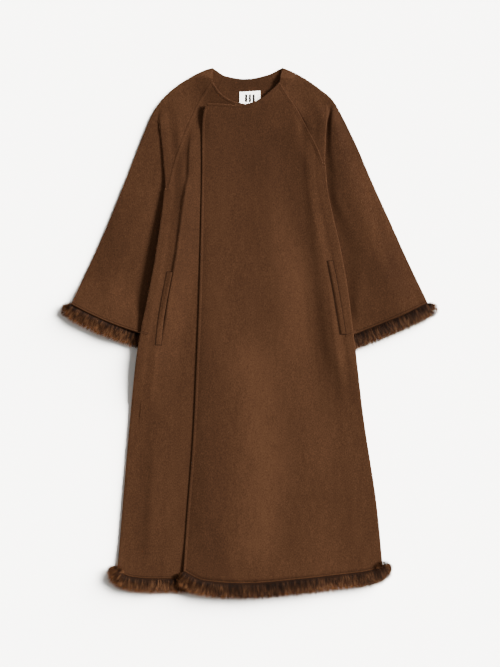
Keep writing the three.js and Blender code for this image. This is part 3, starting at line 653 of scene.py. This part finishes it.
def seam_line(node, neighbour, reach=0.8 * MM):
    """The upper points of a node's rim that face its neighbour, sorted from the neck down."""
    other = tree_of([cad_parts[neighbour]])
    found = {}
    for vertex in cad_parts[node].data.vertices:
        near, _, _, distance = other.find_nearest(vertex.co, reach)
        if near is None or distance > reach:
            continue
        spot = (round(vertex.co.x / MM), round(vertex.co.y / MM))
        if spot not in found or vertex.co.z > found[spot].z:
            found[spot] = vertex.co.copy()
    return sorted(found.values(), key=lambda p: -p.y)


LINE_STEP = 5 * MM


def resample(line):
    """Points at even steps along a line of points, in plan."""
    flat = np.array([[p[0], p[1]] for p in line])
    lengths = np.concatenate([[0], np.cumsum(np.linalg.norm(np.diff(flat, axis=0), axis=1))])
    at = np.linspace(0, lengths[-1], max(3, int(lengths[-1] / LINE_STEP)))
    return np.stack([np.interp(at, lengths, flat[:, k]) for k in range(2)], axis=1)


def smoothed(line, rounds):
    """A line with its corners eased, its ends kept."""
    for _ in range(rounds):
        line[1:-1] = (line[:-2] + 2 * line[1:-1] + line[2:]) / 4
    return line


def normals(line):
    """The direction to the right of a line's run, at each of its points."""
    way = np.gradient(line, axis=0)
    way /= np.linalg.norm(way, axis=1)[:, None]
    return np.stack([-way[:, 1], way[:, 0]], axis=1)


# %% [markdown]
# ## Bands
#
# The two faces of the cloth are split along each edge and felled to each other by hand, which leaves a
# band the width of a finger's edge: a slight ridge beside the seam, with a low step on its far side. A
# band is a grid bent along its line, a few tenths of a millimetre proud, then given thickness. Light
# from the side then draws the ridge, so that no line has to be painted along a seam. The same grids
# also lay the strips of painted shade round the welts and along the hems.

# %% Bands
def band(name, line, offsets, heights, finish, surface=top_cloth, wall=0.5 * MM):
    """A grid laid along a line: one column for each offset to its right and height over the cloth."""
    across, down = len(offsets) - 1, len(line) - 1
    bpy.ops.object.select_all(action="DESELECT")
    bpy.ops.mesh.primitive_grid_add(x_subdivisions=across, y_subdivisions=down, size=1)
    piece = bpy.context.object
    piece.name = piece.data.name = name
    points = []
    for p, n in zip(line, normals(line)):
        for offset, height in zip(offsets, heights):
            x, y = p + n * offset
            points.append((x, y, on_cloth(x, y, surface) + height))
    place(piece, np.array(points))
    edit_all(lambda: bpy.ops.mesh.normals_make_consistent(inside=False))
    if sum(polygon.normal.z for polygon in piece.data.polygons) < 0:
        edit_all(bpy.ops.mesh.flip_normals)
    apply_modifier(piece, "SOLIDIFY", thickness=wall, offset=-1)
    paint_nap_and_shade(piece, positions(piece))
    bpy.ops.object.shade_smooth_by_angle(angle=SMOOTH_ANGLE)
    piece.data.materials.append(finish)
    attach(piece, "root")
    return piece


BAND_WIDTH = 7.0 * MM
BAND_PROUD = 0.75 * MM
# places across the band and heights there, as shares of its width and height: for a cut edge, for a
# seam on the lit side, for one on the far side, for the hem, for the inside and for a stay
BAND_SHAPE = ([0.05, 0.16, 0.34, 0.62, 0.85, 1.0], [-0.3, 0.75, 1.0, 0.5, 0.35, -0.35])
LIT_SHAPE = (
    [-0.45, -0.25, -0.05, 0.12, 0.26, 0.4, 0.8, 1.0],
    [-0.4, 0.2, 0.65, 1.0, 0.7, 0.3, 0.25, -0.4],
)
SHADE_SHAPE = (
    [-0.34, -0.2, -0.06, 0.1, 0.3, 0.5, 0.8, 1.0],
    [-0.4, 0.6, 1.0, 0.75, 0.45, 0.3, 0.25, -0.4],
)
HEM_SHAPE = ([0.0, 0.2, 0.45, 0.7, 1.0], [-0.4, 0.7, 1.0, 0.6, -0.5])
INNER_SHAPE = ([-0.45, -0.3, 0, 0.3, 0.45], [-0.3, 0.22, 0.28, 0.22, -0.3])
TACK_SHAPE = ([-0.5, -0.4, 0, 0.4, 0.5], [-0.05, 0.03, 0.04, 0.03, -0.05])


def scaled(shape, width, proud, way=1, start=0.0):
    """The offsets and heights of a band of a shape."""
    return [way * (start + share * width) for share in shape[0]], [share * proud for share in shape[1]]


def seam_band(name, line, way, shape=BAND_SHAPE, width=BAND_WIDTH, proud=BAND_PROUD, start=0.0):
    """A felled band on one side of a line."""
    line = smoothed(resample(line), 3)
    return band(name, line, *scaled(shape, width, proud, way, start), wool_material)


raglan_right = seam_line("front_right", "sleeve_right_front")
raglan_left = seam_line("front_left", "sleeve_left_front")
print("raglan seams:", len(raglan_right), "and", len(raglan_left), "points")
seam_band("raglan_band_right", raglan_right, 1, LIT_SHAPE)
seam_band("raglan_band_left", raglan_left, -1, SHADE_SHAPE)

# a short stay over the end of each raglan seam, out to the fold beside it
TACK_WIDTH = 8 * MM
TACK_ENDS = {"right": -199.0 * MM, "left": 178.0 * MM}
for side, seam in (("right", raglan_right), ("left", raglan_left)):
    line = np.linspace((seam[-1].x, seam[-1].y), (TACK_ENDS[side], seam[-1].y), 6)
    band(f"underarm_tack_{side}", line, *scaled(TACK_SHAPE, TACK_WIDTH, TACK_WIDTH), wool_material)

# the same seams inside the neck, on the back's upper face
INNER_TOP = 4 * MM
under_cloth = tree_of([panels[node] for node in UNDER_PANELS])
for side, way in (("right", 1), ("left", -1)):
    inner = [p for p in seam_line("back", f"sleeve_{side}_back") if p.z < INNER_TOP]
    line = smoothed(resample(inner), 2)
    offsets, heights = scaled(INNER_SHAPE, BAND_WIDTH, BAND_PROUD, way)
    band(f"raglan_band_inner_{side}", line, offsets, heights, wool_material, under_cloth)


# %% [markdown]
# The front edge and the necklines are cut edges, not seams. They are read from the finished cloth:
# the outermost points of the panel at each step down it, or its uppermost at each step across.


# %% Free edges
def edge_line(node, low, high, step, across):
    """The rim of a panel between two places, found by its lowest X, or highest Y, at each step."""
    points = positions(panels[node])
    axis, other, pick = (1, 0, np.argmin) if across == "x" else (0, 1, np.argmax)
    found = []
    for at in np.arange(low, high, step):
        near = points[np.abs(points[:, axis] - at) < step * 0.75]
        if len(near):
            found.append(near[pick(near[:, other])])
    return found


# each edge is read between two places in metres
front_edge = sorted(edge_line("front_left", -0.557, 0.541, 9 * MM, "x"), key=lambda p: -p[1])
seam_band("front_edge_band", front_edge, 1)
neck_left = edge_line("front_left", -0.094, 0.071, 7 * MM, "y")
neck_right = edge_line("front_right", -0.086, -0.024, 5 * MM, "y")
seam_band("neck_band_left", neck_left, -1)
seam_band("neck_band_right", neck_right, -1)
print("front edge:", len(front_edge), "points")

# %% [markdown]
# ## Pocket welts
#
# A welt is a strip of the same wool, turned in along both sides and let into a slit. It stands a little
# proud, its long edges are rounded and a dark line runs round it where the cloth dips into the seam.
# The frame's strip is bevelled and follows the cloth, and the dark line is painted shade: a slightly
# larger strip under it in darker wool.

# %% Welts
WELT_RISE = 0.6
WELT_SINK = 0.3 * MM
WELT_BEVEL = 0.5 * MM
WELT_WIDTH = 13 * MM
WELT_LINE = 1.6 * MM
WELT_ROW = 9 * MM
SHADOW_WALL, SHADOW_PROUD = 0.3 * MM, 0.2 * MM


def welt(side):
    node = "welt_" + side
    piece = copy_node(node, node + "_strip")
    apply_modifier(piece, "BEVEL", width=WELT_BEVEL, segments=2, limit_method="ANGLE")
    points = positions(piece)
    for k, (x, y, z) in enumerate(points):
        points[k, 2] = on_cloth(x, y) + (z - base_height(node, x, y)) * WELT_RISE - WELT_SINK
    place(piece, points)
    paint_nap_and_shade(piece, points)
    only(piece)
    bpy.ops.object.shade_smooth_by_angle(angle=SMOOTH_ANGLE)
    piece.data.materials.append(wool_material)
    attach(piece, "root")
    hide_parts(node)
    print(node, len(piece.data.polygons), "faces")
    return piece


def base_height(node, x, y):
    """The underside of a welt's solid over a point."""
    hit, _, _, _ = welt_trees[node].ray_cast(Vector((x, y, -ABOVE)), Vector((0, 0, 1)))
    if hit is None:
        hit, _, _, _ = welt_trees[node].find_nearest(Vector((x, y, 0)))
    return hit.z


def middle_line(node, rows):
    """The line down the middle of a strip."""
    points = np.array([v.co[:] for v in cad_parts[node].data.vertices])
    heights = np.linspace(points[:, 1].min(), points[:, 1].max(), rows)
    line = []
    for y in heights:
        near = points[np.abs(points[:, 1] - y) < WELT_ROW]
        line.append((near[:, 0].min() / 2 + near[:, 0].max() / 2, y))
    return smoothed(np.array(line), 2)


welt_trees = {n: tree_of([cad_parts[n]]) for n in ("welt_right", "welt_left")}
welts = {side: welt(side) for side in ("right", "left")}
for side in ("right", "left"):
    line = middle_line("welt_" + side, 24)
    reach = WELT_WIDTH / 2 + WELT_LINE
    offsets = [reach * k for k in (-1, -0.5, 0, 0.5, 1)]
    longer = np.vstack([line[0] - (0, WELT_LINE), line, line[-1] + (0, WELT_LINE)])
    # a strip of painted shade round the welt
    band(f"welt_{side}_shadow", longer, offsets, [SHADOW_PROUD] * 5, seam_shade_material, wall=SHADOW_WALL)

# %% [markdown]
# ## Fur strands
#
# Short fur is sewn to the cloth's edge with its hairs combed away from the seam. The body of a
# strip is a narrower, smaller copy of the frame's strip, and thousands of strands grow from it:
# each leaves the skin, leans over and points away from the cloth, in tufts that lean a little
# together, and is as long as reaches the strip's edge from its root. At a strip's free corners the
# fur makes a round end, whose strands fan out of a low dome. A strand is a thin three-sided spike
# in two joints, and all of a strip's strands are built at once as arrays, because a particle for
# each would be slow and would not export.

# %% Fur strands
SKIN_SHARE = 0.74
SKIN_INSET = 1.6 * MM
INSET_REACH = 14 * MM
SEAM_RISE = 2.2 * MM
FULL_DEPTH = 36 * MM
SEAM_COVER = 2.4 * MM
ROOT_COVER = 0.7
COMB_EASE = 4 * MM
SEAM_SEARCH, SEAM_NEAR = 6 * MM, 1.3 * MM
ROOM_CELL = 12 * MM
HAIR_LENGTH = (7 * MM, 16 * MM)
END_LENGTH = 11 * MM
HAIR_WIDTH = 0.42 * MM
TUFT_WIDTH = 2.8 * MM
TUFT_DEPTH = 6 * MM
TUFT_LANES = 7
# a strand: how far along it bends, how it rises and leans out up to there, and how it rises beyond
JOINT_AT = 0.42
FIRST_RISE, FIRST_OUT = 0.45, 0.88
SECOND_RISE = 0.04
STRAND_POINTS = 7
# how far a tuft's strands draw together at the bend and at the tip, and how low they may hang
DRAW_JOINT, DRAW_TIP = 0.12, 0.35
LOWEST_HAIR = 0.3 * MM
SKIN_TONE, SKIN_ALONG = 0.35, 0.15
# the middle of the hem is darker: its x, how wide, how much, and only strands below y
MIDDLE_X, MIDDLE_WIDTH, MIDDLE_SHADE, MIDDLE_BELOW = 0.045, 0.11, 0.15, -0.3
PUFF_TUFTS = 16
PUFF_RINGS = 6
PUFF_HAIRS = 1200
PUFF_ROOTS = 0.72
PUFF_RISE = 0.55
# strip, then the middle of its round end, its radius, its lowest and highest root, in millimetres
PUFFS = [
    ("fur_hem_left", 316, -553, 19, 7, 18),
    ("fur_hem_left", -161, -574, 12, 9, 20),
    ("fur_hem_right", -312, -563, 17, 7, 18),
    ("fur_cuff_right_front", -427, 54, 18, 3, 15),
    ("fur_cuff_left_front", 426, 54, 18, 3, 15),
]


def comb(points, line):
    """For each point, its nearest place on the seam, the hair's way there, and how far along it is."""
    start, way = line[:-1], np.diff(line, axis=0)
    share = np.einsum("nmk,mk->nm", points[:, None, :2] - start[None], way) / (way**2).sum(axis=1)
    spots = start[None] + np.clip(share, 0, 1)[..., None] * way[None]
    distance = np.linalg.norm(points[:, None, :2] - spots, axis=2)
    best = distance.argmin(axis=1)
    rows = np.arange(len(points))
    nearest = spots[rows, best]
    lengths = np.concatenate([[0], np.cumsum(np.linalg.norm(way, axis=1))])
    along = lengths[best] + np.clip(share[rows, best], 0, 1) * np.linalg.norm(way, axis=1)[best]
    out = points[:, :2] - nearest
    gap = np.linalg.norm(out, axis=1)
    square = np.stack([way[:, 1], -way[:, 0]], axis=1)[best]
    square /= np.linalg.norm(square, axis=1)[:, None]
    clear = np.clip(gap / COMB_EASE, 0, 1)[:, None]
    mixed = out / np.maximum(gap, 1e-6)[:, None] * clear + square * (1 - clear)
    return nearest, mixed / np.linalg.norm(mixed, axis=1)[:, None], along


def cloth_side(node, panel):
    """The edge of a fur strip that faces its panel, in plan, from the wearer's right to left."""
    cloth = tree_of([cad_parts[panel]])
    found = []
    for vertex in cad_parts[node].data.vertices:
        _, _, _, distance = cloth.find_nearest(vertex.co, SEAM_SEARCH)
        if distance is not None and distance < SEAM_NEAR:
            found.append((round(vertex.co.x, 5), round(vertex.co.y, 5)))
    return np.array(sorted(set(found)))


def surface_samples(node, count, facing, rng):
    """Points spread over the faces of a node that face a way, with their normals."""
    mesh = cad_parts[node].data
    corners = np.array([[mesh.vertices[i].co[:] for i in p.vertices[:3]] for p in mesh.polygons])
    cross = np.cross(corners[:, 1] - corners[:, 0], corners[:, 2] - corners[:, 0])
    area = np.linalg.norm(cross, axis=1)
    normal = cross / np.maximum(area, 1e-12)[:, None]
    weight = area * np.clip(normal[:, 2] * facing + 0.35, 0, 1)
    chosen = rng.choice(len(area), count, p=weight / weight.sum())
    u, v = rng.random((2, count, 1))
    u, v = np.where(u + v > 1, 1 - u, u), np.where(u + v > 1, 1 - v, v)
    a, b, c = (corners[chosen, k] for k in range(3))
    return a + u * (b - a) + v * (c - a), normal[chosen]


def room(along, depth):
    """How far it is from each root to the outer edge of the strip, read from the roots round it."""
    cell = (along / ROOM_CELL).astype(int)
    deepest = np.zeros(cell.max() + 1)
    np.maximum.at(deepest, cell, depth)
    return deepest[cell] - depth * SKIN_SHARE


def tufts(along, depth, rng):
    """The tuft of each strand: its tone, length and lean, and how far off its middle it grows."""
    lane = (depth / TUFT_DEPTH + rng.normal(0, 0.2, len(along))).astype(int)
    lane = np.clip(lane, 0, TUFT_LANES - 1)
    shift = rng.random(TUFT_LANES)[lane]
    cell = np.maximum((along / TUFT_WIDTH + shift).astype(int), 0)
    kinds = rng.random((cell.max() + 1, TUFT_LANES, 3))
    tone, length, lean = kinds[cell, lane].T
    aside = along - (cell + 0.5 - shift) * TUFT_WIDTH
    tone = tone * 0.65 + rng.random(len(along)) * 0.35
    return [tone, 0.8 + 0.3 * length, lean - 0.5, aside]


def strands(roots, normal, out, kind, low, rng):
    """Points, faces and the two attributes of many strands."""
    tone, length, lean, aside = kind
    count = len(roots)
    way = np.column_stack([out, np.zeros(count)])
    cross = np.column_stack([-out[:, 1], out[:, 0], np.zeros(count)])
    sway = (lean * 0.5 + rng.normal(0, 0.17, count))[:, None]
    first = normal * FIRST_RISE + way * FIRST_OUT + cross * sway * 0.5
    second = normal * SECOND_RISE + way + cross * sway
    first /= np.linalg.norm(first, axis=1)[:, None]
    second /= np.linalg.norm(second, axis=1)[:, None]
    joint = roots + first * (length * JOINT_AT)[:, None] - cross * (aside * DRAW_JOINT)[:, None]
    tip = joint + second * (length * (1 - JOINT_AT))[:, None] - cross * (aside * DRAW_TIP)[:, None]
    for part in (joint, tip):
        part[:, 2] = np.maximum(part[:, 2], low + LOWEST_HAIR)
    lift = np.cross(cross, way)
    rings = []
    for centre, width in ((roots, 1.0), (joint, 0.8)):
        for angle in (0, 2 * math.pi / 3, 4 * math.pi / 3):
            reach = cross * math.cos(angle) + lift * math.sin(angle)
            rings.append(centre + reach * HAIR_WIDTH * width / 2)
    points = np.stack([*rings, tip], axis=1).reshape(-1, 3)
    spike = [(0, 1, 4, 3), (1, 2, 5, 4), (2, 0, 3, 5), (3, 4, 6), (4, 5, 6), (5, 3, 6), (2, 1, 0)]
    share = np.tile([0, 0, 0, 0.45, 0.45, 0.45, 1.0], count)
    return points, spike, share, np.repeat(tone, STRAND_POINTS)


def puff(node, rng):
    """Roots, normals, ways and kinds of the strands that fan out of a strip's round end."""
    found = [np.zeros((0, 3)), np.zeros((0, 3)), np.zeros((0, 2)), *(np.zeros(0) for _ in range(4))]
    for owner, x, y, radius, low, high in PUFFS:
        if owner != node:
            continue
        turn = rng.uniform(0, 2 * math.pi, PUFF_HAIRS)
        reach = np.sqrt(rng.random(PUFF_HAIRS)) * PUFF_ROOTS
        out = np.stack([np.cos(turn), np.sin(turn)], axis=1)
        spot = np.array([x, y]) + out * (reach * radius)[:, None]
        dome = low + (high - low) * np.sqrt(1 - reach**2) * rng.random(PUFF_HAIRS) ** 0.35
        tilt = np.column_stack([out * reach[:, None], np.full(PUFF_HAIRS, PUFF_RISE)])
        size = radius * MM * rng.uniform(0.35, 0.55, PUFF_HAIRS)
        cell = (turn / (2 * math.pi) * PUFF_TUFTS).astype(int)
        cell += PUFF_TUFTS * (reach * PUFF_RINGS).astype(int)
        tone = 0.15 + 0.6 * rng.random(PUFF_TUFTS * PUFF_RINGS)[cell] + 0.35 * rng.random(PUFF_HAIRS)
        new = [np.column_stack([spot, dome]) * MM, tilt, out, tone, size,
               rng.uniform(-0.4, 0.4, PUFF_HAIRS), np.zeros(PUFF_HAIRS)]
        found = [np.concatenate(pair) for pair in zip(found, new)]
    return found


def hair_mesh(name, points, spike, share, tone):
    """One mesh of all of a strip's strands."""
    starts = range(0, len(points), STRAND_POINTS)
    faces = [tuple(start + i for i in face) for start in starts for face in spike]
    mesh = bpy.data.meshes.new(name)
    mesh.from_pydata(points.tolist(), [], faces)
    point_values(mesh, "along", share)
    point_values(mesh, "tuft", tone)
    piece = bpy.data.objects.new(name, mesh)
    bpy.context.collection.objects.link(piece)
    return piece


def fur(node, panel, count, facing, shade, overhang, seed):
    """A strip's skin and strands, joined in one piece."""
    rng = np.random.default_rng(seed)
    line = cloth_side(node, panel)
    skin = copy_node(node, node + "_fur")
    apply_modifier(skin, "SUBSURF", levels=1, render_levels=1)
    points = positions(skin)
    normal = np.array([v.normal[:] for v in skin.data.vertices])
    nearest, out, _ = comb(points, line)
    points[:, :2] = nearest + (points[:, :2] - nearest) * SKIN_SHARE
    depth = np.linalg.norm(points[:, :2] - nearest, axis=1)
    inset = eased(depth / INSET_REACH)
    upper = (normal[:, 2] * facing > 0.3) * (facing > 0)
    points[:, :2] -= out * (SEAM_COVER * (1 - inset))[:, None]
    points[:, 2] += SEAM_RISE * upper * (1 - inset) - normal[:, 2] * SKIN_INSET * inset
    place(skin, points)
    roots, way = surface_samples(node, count, facing, rng)
    nearest, out, along = comb(roots, line)
    depth = np.linalg.norm(roots[:, :2] - nearest, axis=1)
    roots[:, :2] = nearest + (roots[:, :2] - nearest) * SKIN_SHARE
    inset = eased(depth / INSET_REACH)
    roots -= way * (SKIN_INSET * inset)[:, None]
    roots[:, :2] -= out * (SEAM_COVER * ROOT_COVER * (1 - inset))[:, None]
    roots[:, 2] += SEAM_RISE * (facing > 0) * (1 - inset)
    kind = tufts(along, depth, rng)
    longest = np.where((along > MM) & (along < along.max() - MM), HAIR_LENGTH[1], END_LENGTH)
    reach = (room(along, depth) + overhang * MM) * rng.uniform(0.75, 1.25, count)
    kind[1] = np.clip(reach, HAIR_LENGTH[0], longest) * kind[1]
    middle = np.exp(-(((roots[:, 0] - MIDDLE_X) / MIDDLE_WIDTH) ** 2)) * (roots[:, 1] < MIDDLE_BELOW)
    kind[0] += shade + (depth / FULL_DEPTH - 0.6) * 0.3 - MIDDLE_SHADE * middle
    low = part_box(node)[0].z
    ends = puff(node, rng)
    roots, way, out = (np.concatenate(pair) for pair in zip((roots, way, out), ends))
    kind = [np.concatenate(pair) for pair in zip(kind, ends[3:])]
    hair = hair_mesh(node + "_hair", *strands(roots, way, out, kind, low, rng))
    point_values(skin.data, "along", np.full(len(points), SKIN_ALONG))
    point_values(skin.data, "tuft", np.full(len(points), SKIN_TONE))
    only(skin)
    hair.select_set(True)
    bpy.ops.object.join()
    skin.data.materials.clear()
    skin.data.materials.append(fur_material)
    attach(skin, "root")
    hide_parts(node)
    print(node, len(skin.data.polygons), "faces")


# node, the panel it is sewn to, strands, which way its seen side faces, how much lighter it is and
# how many millimetres its hairs reach past the frame
FUR_STRIPS = [
    ("fur_hem_left", "front_left", 16000, 1, 0.14, 5),
    ("fur_hem_right", "front_right", 9500, 1, 0.2, 1),
    ("fur_hem_back", "back", 8500, -1, 0.0, 2),
    ("fur_cuff_right_front", "sleeve_right_front", 7000, 1, 0.1, 3),
    ("fur_cuff_left_front", "sleeve_left_front", 7000, 1, 0.08, 8),
    ("fur_cuff_right_back", "sleeve_right_back", 3600, -1, 0.0, 2),
    ("fur_cuff_left_back", "sleeve_left_back", 3600, -1, 0.0, 2),
]
FIRST_SEED = 11
for k, row in enumerate(FUR_STRIPS):
    fur(*row, FIRST_SEED + k)

# %% [markdown]
# The cloth's own edge is turned under just above the fur, which leaves a narrow ridge all along it.
# Beside the ridge lies a thin strip of darker wool: painted shade for the dark line that runs along the
# hem there.

# %% Hem ridges
RIDGE_START, RIDGE_WIDTH, RIDGE_PROUD = 2.0 * MM, 3.6 * MM, 1.0 * MM
# a strip of painted shade beside the ridge: where it starts, how wide it is and how proud
HEM_SHADE_START, HEM_SHADE_WIDTH, HEM_SHADE_PROUD = 5.4 * MM, 2.4 * MM, 0.12 * MM
for node, panel, _, facing, *_ in FUR_STRIPS:
    if facing > 0:
        line = cloth_side(node, panel)
        seam_band(panel + "_hem_ridge", line, 1, HEM_SHAPE, RIDGE_WIDTH, RIDGE_PROUD, RIDGE_START)
        # the darker strip laid along this line is painted shade
        shade_line = smoothed(resample(line), 3)
        offsets = [HEM_SHADE_START + share * HEM_SHADE_WIDTH for share in (0, 0.5, 1)]
        band(panel + "_hem_fell", shade_line, offsets, [HEM_SHADE_PROUD] * 3, hem_shade_material, wall=SHADOW_WALL)

# %% [markdown]
# ## Label
#
# A small ribbon is sewn inside the back neck. It is off-white, woven in fine ribs, and here it
# carries no name: only three plain upright bars. The ribs are a wave along the label's length, as
# bump and as the faintest change of tone.

# %% Label
label_finish = Finish("label_ribbon")
ribs = label_finish.node(
    "TexWave", {"bands_direction": "Y"}, {"Vector": label_finish.coordinates(), "Scale": 330.0}
)
ribbon_tone = label_finish.ramp(ribs, [(0.0, srgb(200, 195, 185)), (1.0, srgb(214, 211, 204))])
label_finish.set(Base_Color=ribbon_tone, Roughness=0.7 + ribs * 0.1)
label_finish.set(Normal=label_finish.bump(ribs, 0.35, 0.0002), Specular_IOR_Level=0.25)

thread_finish = Finish("label_thread")
twist = thread_finish.noise(0.0006)
thread_tone = thread_finish.ramp(twist, [(0.0, srgb(24, 20, 18)), (1.0, srgb(52, 45, 40))])
thread_finish.set(Base_Color=thread_tone, Roughness=0.75 + twist * 0.1)

label = copy_node("label", "label_ribbon_piece")
apply_modifier(label, "BEVEL", width=0.2 * MM, segments=2, limit_method="ANGLE")
label.data.materials.append(label_finish.material)
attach(label, "root")
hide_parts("label")
label_low, label_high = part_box("label")
BAR_SIZE = (5.2 * MM, 18 * MM, 0.25 * MM)
BAR_PITCH = 8.8 * MM
# how far the middle of a bar lies below the label's top edge, and over its face
BAR_DROP, BAR_PROUD = 17.5 * MM, 0.05 * MM
label_middle = (label_low.x + label_high.x) / 2
for k in range(3):
    bpy.ops.object.select_all(action="DESELECT")
    spot = (label_middle + (k - 1) * BAR_PITCH, label_high.y - BAR_DROP, label_high.z + BAR_PROUD)
    bpy.ops.mesh.primitive_cube_add(size=1, location=spot)
    bar = bpy.context.object
    bar.name = bar.data.name = f"label_bar_{k + 1}"
    bar.scale = BAR_SIZE
    bpy.ops.object.transform_apply(location=True, rotation=True, scale=True)
    apply_modifier(bar, "BEVEL", width=0.1 * MM, segments=2)
    bar.data.materials.append(thread_finish.material)
    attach(bar, "root")
print("label made")

# %% [markdown]
# ## Cut sizes
#
# For every panel the script prints the width and length of the piece that it is cut from, and its own
# area, which is half of the wall's surface because a wall has two faces.


# %% Cut sizes
def wall_area(node):
    return sum(p.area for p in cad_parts[node].data.polygons) / 2


def declare_sheet(piece, node, width, length, **words):
    area = min(wall_area(node), width * length)
    print(f"{node}: cut from {width:.3f} by {length:.3f} m, {area:.3f} square metres")


CUTS = {
    "back": (0.64, 1.21), "front_right": (0.47, 1.19), "front_left": (0.48, 1.19),
    "sleeve_right_front": (0.36, 0.68), "sleeve_left_front": (0.36, 0.68),
    "sleeve_right_back": (0.38, 0.69), "sleeve_left_back": (0.38, 0.69),
}
WELT_CUT = (0.016, 0.178)
LABEL_CUT = (0.05, 0.033)
for node, cut in CUTS.items():
    declare_sheet(panels[node], node, *cut)
for side in ("right", "left"):
    declare_sheet(welts[side], "welt_" + side, *WELT_CUT, rests_on=[panels["front_" + side]])
declare_sheet(label, "label", *LABEL_CUT, rests_on=[panels["back"]])

# %% [markdown]
# ## Floor
#
# The coat lies on a plain pale surface that runs past the frame on every side. With the floor and
# the label made, the table lamp is linked to both.

# %% Floor
FLOOR_SIZE = 24
FLOOR_DROP = 0.2 * MM
floor_finish = Finish("floor")
floor_grain = floor_finish.noise(0.3)
floor_tone = floor_finish.ramp(floor_grain, [(0.0, srgb(248, 245, 239)), (1.0, srgb(250, 247, 241))])
floor_finish.set(Base_Color=floor_tone, Roughness=0.9 + floor_grain * 0.05)
bpy.ops.object.select_all(action="DESELECT")
bpy.ops.mesh.primitive_plane_add(size=FLOOR_SIZE, location=(0, 0, -FLOOR_DROP))
floor = bpy.context.object
floor.name = "floor"
floor.data.materials.append(floor_finish.material)
bpy.ops.object.transform_apply(location=True, rotation=True, scale=True)
pale_things = bpy.data.collections.new("pale_things")
pale_things.objects.link(floor)
pale_things.objects.link(label)
table_lamp.light_linking.receiver_collection = pale_things
